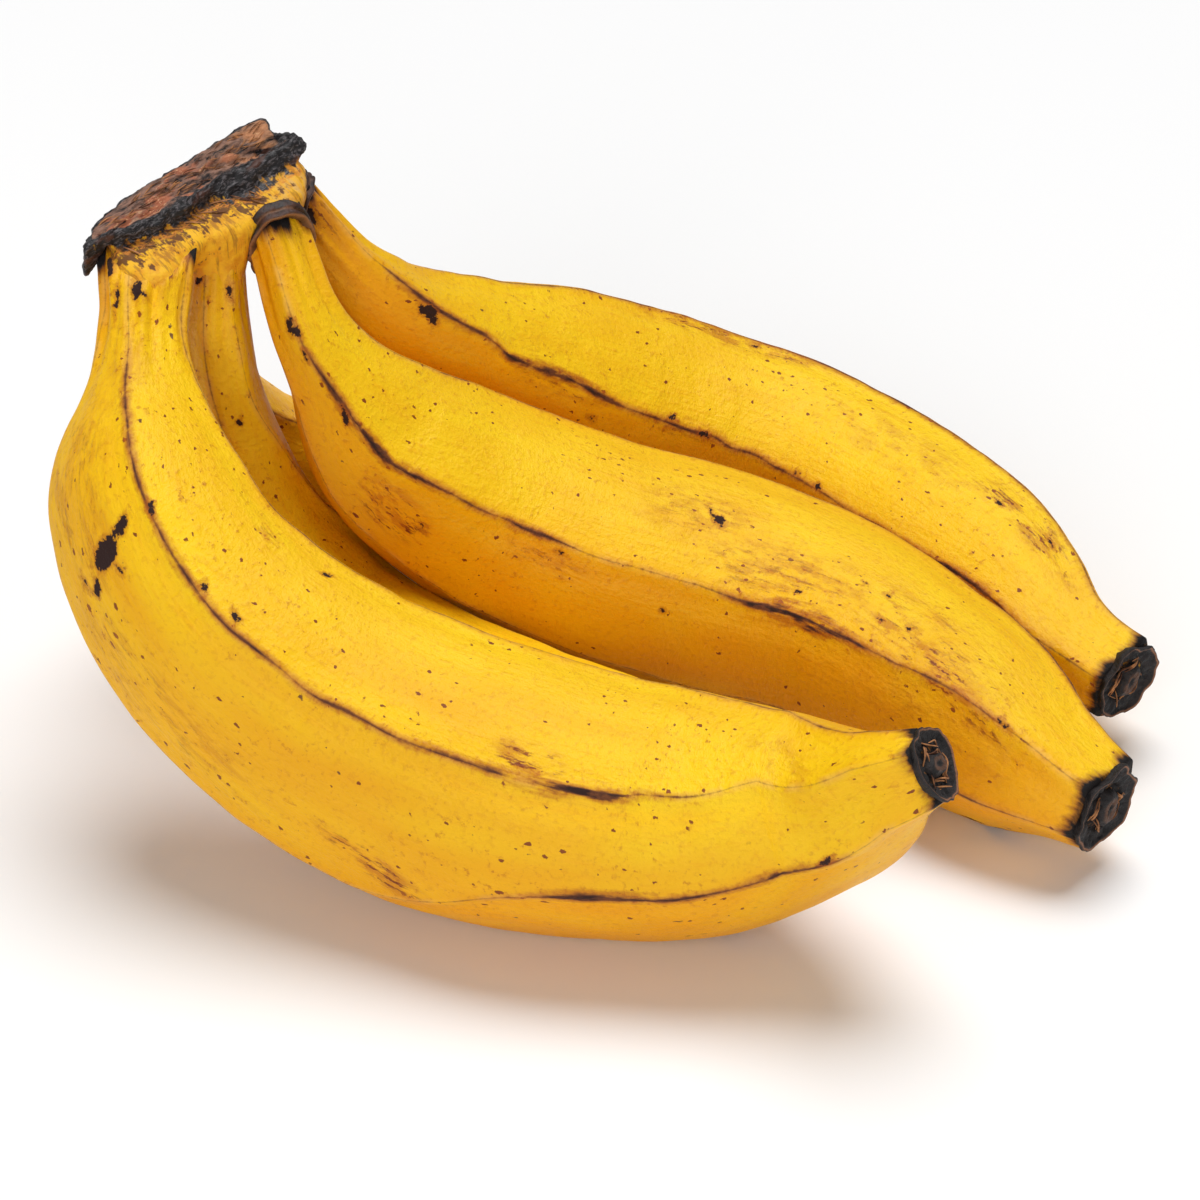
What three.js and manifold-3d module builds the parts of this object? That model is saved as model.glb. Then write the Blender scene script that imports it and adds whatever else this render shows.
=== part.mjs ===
// A hand of ripe plantains: five curved fingers held together by one cut, dried crown.
// Units are millimetres and +Z is up. The hand lies on the plane z = 0, and the origin is on
// that plane, under the middle of the hand.
import * as THREE from 'three';
import { mergeVertices } from 'three/addons/utils/BufferGeometryUtils.js';
import Module from 'manifold-3d';

const wasm = await Module();
wasm.setup();

// Sizes that every finger shares
const RINGS_ALONG_FINGER = 34;
const SIDES_AROUND_FINGER = 20;
const CORNER_SHARPNESS = 8;
const MEAN_OF_SHARP_SECTION = 0.87;
const FACET_DEPTH = 0.35;
const JOIN_GAP = 0.3;
const SIDES_AROUND_END = 16;
const MERGE_DISTANCE = 1e-4;
const SURFACE_WIDTH = 400;
const SURFACE_DEPTH = 20;

// Angle 0 of a finger's section faces this way. Angles grow towards the finger's lower side.
const FACING = new THREE.Vector3(0, -0.848, 0.53);

// The crown's cut face: its middle, its long and short directions, and the slab under it
const CUT_FACE_MIDDLE = new THREE.Vector3(-87, 14, 114.5);
const CUT_FACE_ALONG = new THREE.Vector3(0.69, 0.69, 0.13).normalize();
const CUT_FACE_ACROSS = new THREE.Vector3(-0.68, 0.68, 0.27);
const CUT_SLAB_THICKNESS = 5;
const CUT_SLAB_BEVEL = 1.5;
const CUT_FACE_OUTLINE_STEPS = 36;
const CUT_FACE_OUTLINE = [
  [-27, 1.5], [-17, -1], [-10, -2], [5, -1.5], [18, -1.5], [24, -0.5],
  [22.5, 3], [23, 7], [19, 8], [8, 7.5], [-6, 7], [-17, 6], [-24, 4],
];
const CORE_FOOT = new THREE.Vector3(-79, 22, 104);
const CORE_RADIUS = 5;
const CORE_HEIGHT = 8;
const SOCKET_FLARE = 2;
const SOCKET_LENGTH = 9;
const SOCKET_SIDES = 16;
const CLEARANCE_LENGTH = 30;
const CLEARANCE_MARGIN = 1.2;

// The middle of the hand's outline seen from above, in the numbers used here
const MIDDLE_OF_HAND = new THREE.Vector3(-2, 3.5, 0);

const PEEL = { color: 0xe2a81f, roughness: 0.45, metalness: 0 };
const DRIED_CROWN = { color: 0x3a2a22, roughness: 0.85, metalness: 0 };
const DRIED_BLOSSOM = { color: 0x1f1a19, roughness: 0.8, metalness: 0 };

// Each finger: the middle line from the crown to the tip, the radius at distances along it, the
// angles of the five ridges of the peel in degrees, and the dried blossom end on its tip.
const FINGERS = {
  front: {
    path: [
      [-97, 3, 104], [-97, -13, 88], [-94, -34, 69.5], [-81, -47.5, 52], [-55.5, -58.5, 35.5],
      [-22, -70, 27], [8, -77, 26.5], [33, -87, 37], [45, -99, 50.5], [52, -101.5, 55.5],
    ],
    radii: [
      [0, 9.2], [12, 8], [22, 9.4], [31, 12.5], [41, 17], [51, 19.8], [76, 23.4], [108, 26.2],
      [144, 27.3], [175, 25], [191, 22.2], [205, 18], [218, 13.2], [227, 9.6], [237, 6.8],
    ],
    ridges: [-6, 46, 122, 198, 280],
    blossom: { radius: 6.9, depth: 4 },
  },
  inner_front: {
    path: [
      [-84, 14, 102], [-85, 9, 82], [-83, 8, 62], [-77, 5, 38], [-63, -2, 21],
      [-43, -17.5, 17], [-23, -27, 16.3], [-4, -34, 16.3], [15, -41, 16],
    ],
    radii: [
      [0, 5], [11, 6.4], [20, 8], [40, 10.6], [64, 14.2], [83, 16.3], [105, 16.6], [130, 15.2],
      [150, 13], [168, 10.2], [180, 7.6],
    ],
    ridges: [-40, 30, 100, 172, 245],
    blossom: { radius: 6.2, depth: 3.5 },
  },
  middle: {
    path: [
      [-72, 16, 103], [-65, 7, 85], [-51, 9, 60], [-31, 13, 42], [-7, 11, 31],
      [16, 8, 26], [39, -3, 23], [61, -25, 19.8], [77, -46, 18.6], [90, -58, 16.5],
    ],
    radii: [
      [0, 6], [12, 6.6], [22, 8], [31, 10.2], [40, 13.7], [51, 17.3], [65, 20.2], [84, 22.5],
      [105, 23.8], [130, 23.4], [160, 22], [188, 20.4], [206, 17.6], [219, 13.4], [232, 9.8],
    ],
    ridges: [2, 58, 128, 198, 268],
    blossom: { radius: 9.4, depth: 4.5 },
  },
  back: {
    path: [
      [-72, 29, 106], [-54, 31, 81], [-37, 44.5, 64], [-21, 56.5, 50], [-3, 65, 37],
      [18, 67, 28], [38, 60, 23.5], [57, 43, 20.8], [75, 20, 20], [88, -2.5, 19.5], [99, -14.5, 17.7],
    ],
    radii: [
      [0, 6], [17, 6.6], [32, 9.4], [57, 13.4], [83, 19], [105, 21.8], [128, 22.4],
      [155, 22], [180, 21.6], [198, 20.4], [214, 17.8], [228, 14], [243, 9.6], [253, 8.8],
    ],
    ridges: [4, 70, 142, 210, 285],
    blossom: { radius: 9.1, depth: 4.5 },
  },
  inner_back: {
    path: [
      [-84, 26, 98], [-91, 29, 80], [-91, 32, 60], [-80, 41, 38], [-64, 56, 23],
      [-42, 79, 16.2], [-16, 98, 15.8], [4, 106, 15], [20, 107, 14],
    ],
    radii: [
      [0, 5], [15, 6.5], [30, 8.8], [48, 12], [70, 15.4], [93, 17], [118, 17.2], [145, 16],
      [165, 14], [182, 10.4], [194, 6.6],
    ],
    ridges: [-50, 22, 94, 166, 238],
    blossom: { radius: 6.4, depth: 3.5 },
  },
};

function toVectors(points) {
  return points.map(([x, y, z]) => new THREE.Vector3(x, y, z));
}

function keepPositionsOnly(geometry) {
  const bare = geometry.clone();
  bare.deleteAttribute('normal');
  bare.deleteAttribute('uv');
  return mergeVertices(bare, MERGE_DISTANCE);
}

function toSolid(geometry) {
  const merged = keepPositionsOnly(geometry);
  return new wasm.Manifold(new wasm.Mesh({
    numProp: 3,
    vertProperties: Float32Array.from(merged.attributes.position.array),
    triVerts: Uint32Array.from(merged.index.array),
  }));
}

function toGeometry(solid) {
  const mesh = solid.getMesh();
  const geometry = new THREE.BufferGeometry();
  geometry.setAttribute('position', new THREE.BufferAttribute(mesh.vertProperties, 3));
  geometry.setIndex(new THREE.BufferAttribute(mesh.triVerts, 1));
  geometry.computeVertexNormals();
  return geometry;
}

// How far the peel stands from the finger's middle line at an angle, as a share of the radius:
// a five-sided section with round corners, more at a ridge and less on the facet beside it.
function sectionShare(angle, ridges) {
  const sum = ridges.reduce((total, ridge, index) => {
    const next = index + 1 < ridges.length ? ridges[index + 1] : ridges[0] + 360;
    const middle = THREE.MathUtils.degToRad((ridge + next) / 2);
    const half = THREE.MathUtils.degToRad((next - ridge) / 2);
    const towards = Math.max(0, Math.cos(angle - middle));
    return total + (towards / Math.cos(half)) ** CORNER_SHARPNESS;
  }, 0);
  const sharpSection = sum ** (-1 / CORNER_SHARPNESS);
  return 1 + FACET_DEPTH * (sharpSection / MEAN_OF_SHARP_SECTION - 1);
}

function middleLine(finger) {
  return new THREE.CatmullRomCurve3(toVectors(finger.path), false, 'catmullrom', 0.5);
}

// A straight turned solid of the finger's radii, bent onto the finger's middle line
function fingerGeometry(finger) {
  const length = finger.radii.at(-1)[0];
  const outline = new THREE.SplineCurve(
    finger.radii.map(([distance, radius]) => new THREE.Vector2(radius, distance)),
  ).getPoints(RINGS_ALONG_FINGER);
  const profile = [new THREE.Vector2(0, 0), ...outline, new THREE.Vector2(0, length)];
  const geometry = keepPositionsOnly(new THREE.LatheGeometry(profile, SIDES_AROUND_FINGER));
  const line = middleLine(finger);
  const positions = geometry.attributes.position;
  for (let index = 0; index < positions.count; index += 1) {
    const across = positions.getX(index);
    const towards = positions.getZ(index);
    const share = THREE.MathUtils.clamp(positions.getY(index) / length, 0, 1);
    const tangent = line.getTangentAt(share);
    const facing = FACING.clone().addScaledVector(tangent, -FACING.dot(tangent)).normalize();
    const lower = tangent.clone().cross(facing);
    const angle = Math.atan2(across, towards);
    const section = sectionShare(angle, finger.ridges);
    const point = line.getPointAt(share)
      .addScaledVector(lower, across * section)
      .addScaledVector(facing, towards * section);
    positions.setXYZ(index, point.x, point.y, point.z);
  }
  return geometry;
}

// The surface that the hand lies on presses a small flat under each finger that touches it.
function layDown(geometry) {
  const surface = new THREE.BoxGeometry(SURFACE_WIDTH, SURFACE_WIDTH, SURFACE_DEPTH);
  surface.translate(0, 0, -SURFACE_DEPTH / 2);
  return toGeometry(toSolid(geometry).subtract(toSolid(surface)));
}

function turnUpAxisTo(geometry, direction, point) {
  const turn = new THREE.Quaternion().setFromUnitVectors(new THREE.Vector3(0, 1, 0), direction);
  return geometry.applyQuaternion(turn).translate(point.x, point.y, point.z);
}

// The dried flower remnant: a short dark disc with a raised rim and a stub in its middle
function blossomGeometry(finger) {
  const { radius, depth } = finger.blossom;
  const profile = [
    [0, 0], [0.92, 0], [1, 0.4], [0.98, 0.8], [0.85, 0.85], [0.7, 0.5], [0.5, 0.4], [0.42, 0.9],
    [0.25, 1], [0, 1],
  ].map(([across, along]) => new THREE.Vector2(across * radius, along * depth));
  const line = middleLine(finger);
  const direction = line.getTangentAt(1);
  const foot = line.getPointAt(1).addScaledVector(direction, JOIN_GAP);
  return turnUpAxisTo(new THREE.LatheGeometry(profile, SIDES_AROUND_END), direction, foot);
}

function cutSlabGeometry() {
  const outline = new THREE.CatmullRomCurve3(
    CUT_FACE_OUTLINE.map(([along, across]) => new THREE.Vector3(along, across, 0)),
    true,
    'catmullrom',
    0.5,
  ).getPoints(CUT_FACE_OUTLINE_STEPS).slice(0, -1);
  const shape = new THREE.Shape(outline.map(({ x, y }) => new THREE.Vector2(x, y)));
  const slab = new THREE.ExtrudeGeometry(shape, {
    depth: CUT_SLAB_THICKNESS,
    bevelSize: CUT_SLAB_BEVEL,
    bevelThickness: CUT_SLAB_BEVEL,
    bevelSegments: 2,
  });
  slab.translate(0, 0, -CUT_SLAB_THICKNESS - CUT_SLAB_BEVEL);
  const up = CUT_FACE_ALONG.clone().cross(CUT_FACE_ACROSS).normalize();
  const across = up.clone().cross(CUT_FACE_ALONG);
  const place = new THREE.Matrix4().makeBasis(CUT_FACE_ALONG, across, up);
  return slab.applyMatrix4(place.setPosition(CUT_FACE_MIDDLE));
}

// A short cone from the top of a finger's stalk up into the cut slab
function socketGeometry(finger) {
  const line = middleLine(finger);
  const upStalk = line.getTangentAt(0).negate();
  const foot = line.getPointAt(0).addScaledVector(upStalk, JOIN_GAP);
  const radius = finger.radii[0][1];
  const profile = [
    [0, 0], [radius, 0], [radius + SOCKET_FLARE, SOCKET_LENGTH], [0, SOCKET_LENGTH],
  ].map(([across, along]) => new THREE.Vector2(across, along));
  return turnUpAxisTo(new THREE.LatheGeometry(profile, SOCKET_SIDES), upStalk, foot);
}

// The room that a finger's stalk takes below its socket
function stalkRoomGeometry(finger) {
  const line = middleLine(finger);
  const downStalk = line.getTangentAt(0);
  const foot = line.getPointAt(0).addScaledVector(downStalk, -JOIN_GAP);
  const radius = finger.radii[0][1] + CLEARANCE_MARGIN;
  const profile = [
    [0, 0], [radius, 0], [radius, CLEARANCE_LENGTH], [0, CLEARANCE_LENGTH],
  ].map(([across, along]) => new THREE.Vector2(across, along));
  return turnUpAxisTo(new THREE.LatheGeometry(profile, SOCKET_SIDES), downStalk, foot);
}

// A short post that fills the crown between the stalks
function coreGeometry() {
  const core = new THREE.CylinderGeometry(CORE_RADIUS, CORE_RADIUS, CORE_HEIGHT, SOCKET_SIDES);
  return turnUpAxisTo(core.translate(0, CORE_HEIGHT / 2, 0), new THREE.Vector3(0, 0, 1), CORE_FOOT);
}

function crownGeometry() {
  const fingers = Object.values(FINGERS);
  const joined = fingers.reduce(
    (solid, finger) => solid.add(toSolid(socketGeometry(finger))),
    toSolid(cutSlabGeometry()).add(toSolid(coreGeometry())),
  );
  const cleared = fingers.reduce(
    (solid, finger) => solid.subtract(toSolid(stalkRoomGeometry(finger))),
    joined,
  );
  return toGeometry(cleared);
}

function namedMesh(name, geometry, look) {
  const mesh = new THREE.Mesh(geometry, new THREE.MeshStandardMaterial(look));
  mesh.name = name;
  return mesh;
}

const hand = new THREE.Group();
hand.position.copy(MIDDLE_OF_HAND).negate();
hand.add(namedMesh('crown', crownGeometry(), DRIED_CROWN));
Object.entries(FINGERS).forEach(([place, finger]) => {
  hand.add(namedMesh(`finger_${place}`, layDown(fingerGeometry(finger)), PEEL));
  hand.add(namedMesh(`blossom_end_${place}`, toGeometry(toSolid(blossomGeometry(finger))), DRIED_BLOSSOM));
});

export default hand;
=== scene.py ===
"""The looks of a hand of ripe plantains: ridged peel, dried crown, collars and blossom ends.

Shapes are worked out in millimetres in the object's own frame, and meshes are made in metres.
"""
import math
import bpy
import numpy as np
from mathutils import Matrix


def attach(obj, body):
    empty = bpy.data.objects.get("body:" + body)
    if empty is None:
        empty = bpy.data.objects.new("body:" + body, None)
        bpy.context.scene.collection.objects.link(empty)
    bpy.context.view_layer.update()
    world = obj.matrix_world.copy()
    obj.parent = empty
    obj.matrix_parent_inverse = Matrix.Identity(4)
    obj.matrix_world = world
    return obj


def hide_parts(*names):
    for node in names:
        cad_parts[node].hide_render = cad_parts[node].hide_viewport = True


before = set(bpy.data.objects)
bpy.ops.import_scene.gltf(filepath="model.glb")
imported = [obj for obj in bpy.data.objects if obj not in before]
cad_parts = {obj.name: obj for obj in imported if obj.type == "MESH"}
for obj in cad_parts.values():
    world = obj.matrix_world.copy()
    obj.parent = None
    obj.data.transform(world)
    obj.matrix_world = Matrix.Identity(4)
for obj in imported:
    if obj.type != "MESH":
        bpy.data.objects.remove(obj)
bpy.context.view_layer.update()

MILLIMETRE = 0.001

# The middle of the hand's outline seen from above, in the numbers of the courses below
MIDDLE_OF_HAND = np.array([-2, 3.5, 0])

# Angle 0 of a finger's section faces this way. Angles grow towards the finger's lower side.
FACING = np.array([0, -0.848, 0.53])

# Each finger, at distances in millimetres from the crown along its middle line:
# course: the middle line; radii: the mean radius; ridges: the angle of each of the five ridges;
# streaks: the width of the dark line along a ridge; gold: how deep the yellow is on the facet
# after each ridge, partly the peel's own tone and partly painted shade that makes the lower facets
# deeper and the upper ones lighter; marks and smudges: distance, angle, half length, half width,
# turn, and for smudges their strength; stalk_char_and_shade and tip_char: how far the black runs in
# from the two ends, by the front finger's crown partly painted shade under the rim; folds: how deep
# the stalk's fine folds are; green: how green the half at the stalk still is; blossom: the dried
# end's radius, depth and corners; crown_reach: where the crown's seat round the stalk starts and
# ends, and how much wider than the stalk it is there.
FINGERS = {
    "front": {
        "course": [
            (-97, 3, 104), (-97, -13, 88), (-94, -34, 69.5), (-81, -47.5, 52), (-55.5, -58.5, 35.5),
            (-22, -70, 27), (8, -77, 26.5), (33, -87, 37), (45, -99, 50.5), (52, -101.5, 55.5),
        ],
        "radii": [
            (0, 9.2), (12, 8), (22, 9.4), (31, 12.5), (41, 17), (51, 19.8), (76, 23.4), (108, 26.2),
            (144, 27.3), (175, 25), (191, 22.2), (205, 18), (218, 13.2), (227, 9.6), (237, 6.8),
        ],
        "ridges": [
            [(0, 18), (28, 11), (42, 2), (60, -5), (100, -6), (160, -9), (192, -16), (218, -30)],
            [(0, 62), (80, 80), (125, 74), (140, 52), (150, 38), (160, 33), (196, 31), (216, 34),
             (237, 62)],
            [(0, 122)], [(0, 198)], [(0, 290), (200, 280), (237, 270)],
        ],
        "streaks": [
            [(20, 0.05), (32, 0.5), (60, 0.5), (90, 0.45), (120, 0.4), (136, 0.5), (146, 1.0),
             (160, 1.3), (168, 0.9), (180, 0.45), (196, 0.05), (237, 0.05)],
            [(0, 0.05), (140, 0.1), (152, 0.4), (162, 0.9), (180, 0.9), (190, 0.35), (203, 0.7),
             (214, 0.6), (222, 0.1)],
            [(0, 0.2), (70, 0.7), (110, 0.3), (180, 0.6), (237, 0.2)],
            [(0, 0.3), (90, 0.4), (120, 1.0), (150, 0.4), (237, 0.2)],
            [(0, 0.1), (60, 0.3), (150, 0.2), (237, 0.3)],
        ],
        "gold_and_shade": [0.5, 0.75, 0.8, 0.6, 0.12],
        "marks": [
            (8, 5, 2.2, 1.1, 0), (9, -4, 1.6, 0.6, -55), (58, 30, 3.8, 1.9, 70),
            (61.5, 46, 1.6, 0.9, 60), (55.5, 15, 2.0, 0.9, 60), (60, 54, 1.2, 0.7, 0),
            (61, 26, 1.4, 0.6, -40),
            (87, -61, 1.3, 0.6, -30), (55, -4, 1.1, 0.6, 10), (72, -9, 1.2, 0.6, 20),
            (80, -11, 1.2, 0.5, 20), (10, 34, 2.6, 0.5, 5), (3, 44, 2, 0.9, 0), (216, 34, 1.2, 0.6, 0),
        ],
        "smudges": [
            (149, -17, 7, 3.5, 0, 1.15), (126, 53, 12, 3.5, 15, 1.1), (48, 44, 20, 9, 0, 0.5),
            (80, 55, 25, 8, 0, 0.45), (72, -52, 9, 2.5, 20, 0.6), (20, 10, 12, 6, 0, 0.4),
            # The smudge at distance 0 and angle -35 is partly a real stain and partly painted shade
            # under the crown's rim
            (0, -35, 9, 7, 0, 1.0), (212, -45, 12, 5, 10, 0.4), (120, 160, 40, 14, 0, 0.5),
        ],
        # The front's blackening by the crown is partly real char and partly painted shade under the
        # crown's rim
        "stalk_char_and_shade": 8.5,
        "tip_char": 1.8,
        "folds": 0.55,
        "green": 0.0,
        "blossom": (6.9, 1.6, 6),
        "crown_reach": (-9, 3, 0.3, -0.9),
    },
    "inner_front": {
        "course": [
            (-84, 14, 102), (-85, 9, 82), (-83, 8, 62), (-77, 5, 38), (-63, -2, 21),
            (-43, -17.5, 17), (-23, -27, 16.3), (-4, -34, 16.3), (15, -41, 16),
        ],
        "radii": [
            (0, 5), (11, 6.4), (20, 8), (40, 10.6), (64, 14.9), (83, 17.1), (105, 17.4),
            (130, 15.7), (150, 13), (168, 10.2), (180, 7.6),
        ],
        "ridges": [
            [(0, -36), (30, -40), (53, -72), (80, -98)], [(0, 20), (24, 8), (53, -10), (80, -30)],
            [(0, 95), (80, 50)], [(0, 170), (80, 120)], [(0, 245), (80, 190)],
        ],
        "streaks": [
            [(0, 0.05), (80, 0.15)], [(0, 0.1), (40, 0.25), (90, 0.5)], [(0, 0.2), (90, 0.5)],
            [(0, 0.2), (90, 0.6), (120, 0.3)], [(0, 0.2), (120, 0.4)],
        ],
        "gold_and_shade": [0.1, 0.4, 0.7, 0.6, 0.1],
        "marks": [(6, 30, 1.4, 0.8, 40), (8, -30, 1.6, 0.5, 0), (34, -20, 0.9, 0.7, 0)],
        "smudges": [(14, 0, 10, 6, 0, 0.3), (100, 120, 30, 8, 0, 0.5)],
        "stalk_char_and_shade": 2.0,
        "tip_char": 1.6,
        "folds": 0.2,
        "green": 0.12,
        "blossom": (6.0, 1.6, 5),
        "crown_reach": (-9, 7, 3.0, -0.5),
    },
    "middle": {
        "course": [
            (-72, 16, 103), (-65, 7, 85), (-51, 9, 60), (-31, 13, 42), (-7, 11, 31),
            (16, 8, 26), (39, -3, 23), (61, -25, 19.8), (77, -46, 18.6), (90, -58, 16.5),
        ],
        "radii": [
            (0, 6), (12, 6.6), (22, 8), (31, 10.2), (40, 13.7), (51, 17.3), (65, 20.2), (84, 22.5),
            (105, 23.8), (130, 23.4), (160, 22), (188, 20.4), (206, 17.6), (219, 13.4), (232, 9.8),
        ],
        "ridges": [
            [(0, 20), (26, 14), (44, 6), (62, 2), (110, 1), (150, 5), (176, 4), (196, -2),
             (222, -10), (232, -4)],
            [(0, 75), (60, 62), (100, 54), (134, 63), (190, 55), (232, 50)],
            [(0, 128)], [(0, 198)], [(0, 268)],
        ],
        "streaks": [
            [(12, 0.05), (24, 0.4), (34, 0.8), (52, 0.9), (60, 0.3), (72, 0.5), (88, 0.6),
             (96, 0.15), (132, 0.15), (142, 0.5), (150, 1.3), (164, 1.8), (174, 1.0), (182, 0.35),
             (212, 0.35), (222, 0.1)],
            [(0, 0.1), (60, 0.15), (150, 0.1), (190, 0.35), (232, 0.2)],
            [(0, 0.2), (80, 0.6), (140, 0.3), (200, 0.7)],
            [(0, 0.2), (100, 0.9), (140, 0.3), (232, 0.2)],
            [(0, 0.1), (90, 0.4), (160, 0.3), (200, 0.5), (232, 0.2)],
        ],
        "gold_and_shade": [0.8, 0.9, 0.8, 0.5, 0.2],
        "marks": [
            (17, 26, 1.3, 0.8, 35), (18, 21, 1.3, 0.8, -35), (22, 22, 0.8, 0.5, 0),
            (128, -39, 1.5, 1.2, 0), (126, -42, 2.1, 0.5, 60), (130, -36, 2.2, 0.45, -30),
            (155, -8, 1.0, 0.6, 0), (153, -22, 0.7, 0.5, 0), (166, -32, 0.8, 0.6, 0),
            (172, -35, 1.0, 0.8, 20), (94, 6, 1.2, 0.5, 10), (119, 19, 0.8, 0.6, 0),
            (214, -8, 1.4, 0.6, 10), (34, 14, 1.4, 0.5, 20), (145, -14, 0.9, 0.5, 0),
            (182, -22, 0.9, 0.5, 30), (176, -16, 0.8, 0.5, 0), (60, 30, 1.0, 0.5, 30),
        ],
        "smudges": [
            (54, 34, 8, 5, 10, 1.2), (150, -16, 24, 10, 0, 0.6), (186, -24, 24, 12, 0, 0.55),
            (194, -9, 22, 3, 8, 1.35), (168, 3, 12, 3, 0, 0.9), (90, 12, 12, 3, 0, 0.6),
            (122, -40, 16, 8, 0, 0.5), (200, 20, 20, 6, 0, 0.4), (110, 150, 40, 12, 0, 0.5),
        ],
        "stalk_char_and_shade": 7.0,
        "tip_char": 1.9,
        "folds": 0.25,
        "green": 0.1,
        "blossom": (8.7, 1.8, 6),
        "crown_reach": (-13, -9.5, 2.0, 1.0),
    },
    "back": {
        "course": [
            (-72, 29, 106), (-54, 31, 81), (-37, 44.5, 64), (-21, 56.5, 50), (-3, 65, 37),
            (18, 67, 28), (38, 60, 23.5), (57, 43, 20.8), (75, 20, 20), (88, -2.5, 19.5),
            (99, -14.5, 17.7),
        ],
        "radii": [
            (0, 6), (17, 6.6), (32, 9.4), (57, 13.4), (83, 19), (105, 21.8), (128, 22.4),
            (155, 22), (180, 21.6), (198, 20.4), (214, 17.8), (228, 14), (243, 9.6), (253, 8.8),
        ],
        "ridges": [
            [(0, -46), (20, -52), (32, -36), (45, -12), (60, 1), (85, 3), (120, 4), (145, 6),
             (165, 12), (200, 15), (230, 20), (253, 22)],
            [(0, 40), (32, 45), (60, 70), (200, 75), (253, 85)],
            [(0, 120), (60, 142)], [(0, 200), (60, 210)], [(0, 250), (60, 285), (253, 290)],
        ],
        "streaks": [
            [(20, 0.05), (30, 0.4), (38, 0.8), (46, 0.5), (56, 0.5), (62, 0.9), (86, 0.9),
             (93, 0.3), (112, 0.7), (125, 0.5), (160, 0.45), (176, 0.25), (196, 0.5), (226, 0.6),
             (238, 0.2)],
            [(0, 0.2), (150, 0.4), (253, 0.3)],
            [(0, 0.2), (80, 0.6), (140, 0.3), (200, 0.5)],
            [(0, 0.3), (110, 0.8), (150, 0.3), (253, 0.3)],
            [(0, 0.1), (100, 0.35), (180, 0.5), (253, 0.2)],
        ],
        "gold_and_shade": [0.85, 0.9, 0.7, 0.35, 0.15],
        "marks": [
            (37, -18, 2.3, 1.1, 15), (39, -10, 1.4, 0.7, 40), (110, 0, 1.4, 0.6, 0),
            (122, 4, 1.7, 0.6, 0), (171, 11, 1.3, 0.7, 0), (163, 9, 0.9, 0.5, 0),
            (87, 18, 0.9, 0.6, 0), (6, -17, 2.8, 1.0, 10), (208, -47, 1.1, 0.6, 20),
            (222, -56, 1.2, 0.5, 0), (132, -68, 1.4, 0.5, 0),
        ],
        "smudges": [
            (124, -70, 26, 4, 0, 1.1), (216, -52, 18, 4, 0, 1.0), (75, 5, 14, 3, 0, 0.8),
            (115, 4, 14, 2.5, 0, 0.8), (180, -40, 26, 8, 0, 0.35), (110, 190, 40, 12, 0, 0.5),
            (6, -20, 9, 4, 0, 0.8),
        ],
        "stalk_char_and_shade": 11.5,
        "tip_char": 1.7,
        "folds": 0.25,
        "green": 0.05,
        "blossom": (8.2, 1.8, 6),
        "crown_reach": (-12, -4, 2.0, 1.0),
    },
    "inner_back": {
        "course": [
            (-84, 26, 98), (-91, 29, 80), (-91, 32, 60), (-80, 41, 38), (-64, 56, 23),
            (-42, 79, 16.2), (-16, 98, 15.8), (4, 106, 15), (20, 107, 14),
        ],
        "radii": [
            (0, 5), (15, 6.5), (30, 8.8), (48, 12), (70, 15.4), (93, 17), (118, 17.2), (145, 16),
            (165, 14), (182, 10.4), (194, 6.6),
        ],
        "ridges": [[(0, -50)], [(0, 22)], [(0, 94)], [(0, 166)], [(0, 238)]],
        "streaks": [
            [(0, 0.1), (80, 0.5), (120, 0.3)], [(0, 0.1), (60, 0.3), (110, 0.6)],
            [(0, 0.2), (90, 0.9), (130, 0.4)], [(0, 0.2), (100, 1.1), (150, 0.4)],
            [(0, 0.1), (70, 0.4), (120, 0.6)],
        ],
        "gold_and_shade": [0.5, 0.75, 0.6, 0.4, 0.3],
        "marks": [(60, 190, 3, 1.8, 20), (95, 150, 2.2, 1.1, 0), (130, 210, 2.6, 1.4, 40)],
        "smudges": [(90, 170, 30, 9, 0, 0.7), (140, 230, 20, 6, 0, 0.5)],
        "stalk_char_and_shade": 1.0,
        "tip_char": 1.8,
        "folds": 0.25,
        "green": 0.3,
        "blossom": (6.2, 1.6, 5),
        "crown_reach": (-12, 7, 3.0, -0.5),
    },
}

# Sizes of the peel that every finger shares: millimetres, or shares of the radius
RIDGE_COUNT = 5
RINGS_PER_MILLIMETRE = 1.75
STALK_LEAD = 8
COLUMN_WIDTH = 1.05
CROWDING_AT_RIDGES = 0.5
CORNER_SHARPNESS = 8
MEAN_OF_SHARP_SECTION = 0.87
FACET_DEPTH = 0.5
DEEPER_AT_NECK = 0.15
DEEPER_AT_TIP = 0.55
FULL_RELIEF_RADIUS = 14
RIDGE_HEIGHT = 0.45
RIDGE_WIDTH = 1.7
RIDGE_SWAY = 0.18
RIDGE_EASING = 25
HOLLOW_DEPTH = 0.35
HOLLOW_FROM_RIDGE = 3.4
HOLLOW_WIDTH = 2.4
NEAR_CROWN = 30
MARK_DEPTH = 0.15
DEEPEST_CHAR = -12
NO_MARK = -4
SMALL_MARKS = 16
LOBE_CIRCLE = 10

# The tips' dried ends: their section, in shares of the radius and of the depth
BLOSSOM_COLUMNS = 120
BLOSSOM_PROFILE = [
    (0.84, -0.60), (0.96, -0.10), (1.01, 0.35), (1.03, 0.70), (0.99, 0.82), (0.93, 0.62),
    (0.86, 0.35), (0.74, 0.25), (0.62, 0.15), (0.54, -0.30), (0.46, -0.45), (0.40, 0.05),
    (0.34, 0.85), (0.24, 1.15), (0.12, 1.05), (0.03, 0.85),
]
THREADS = 13
THREAD_POINTS = 22

# The collars' section: along the stalk and out from it
COLLAR_COLUMNS = 144
COLLAR_PROFILE = [
    (-1.9, -0.6), (-1.75, 0.35), (-1.2, 0.85), (-0.5, 0.75), (-0.1, 0.35), (0.2, 0.3),
    (0.6, 0.85), (1.1, 1.25), (1.5, 1.1), (1.8, 0.5), (1.9, -0.6),
]

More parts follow.
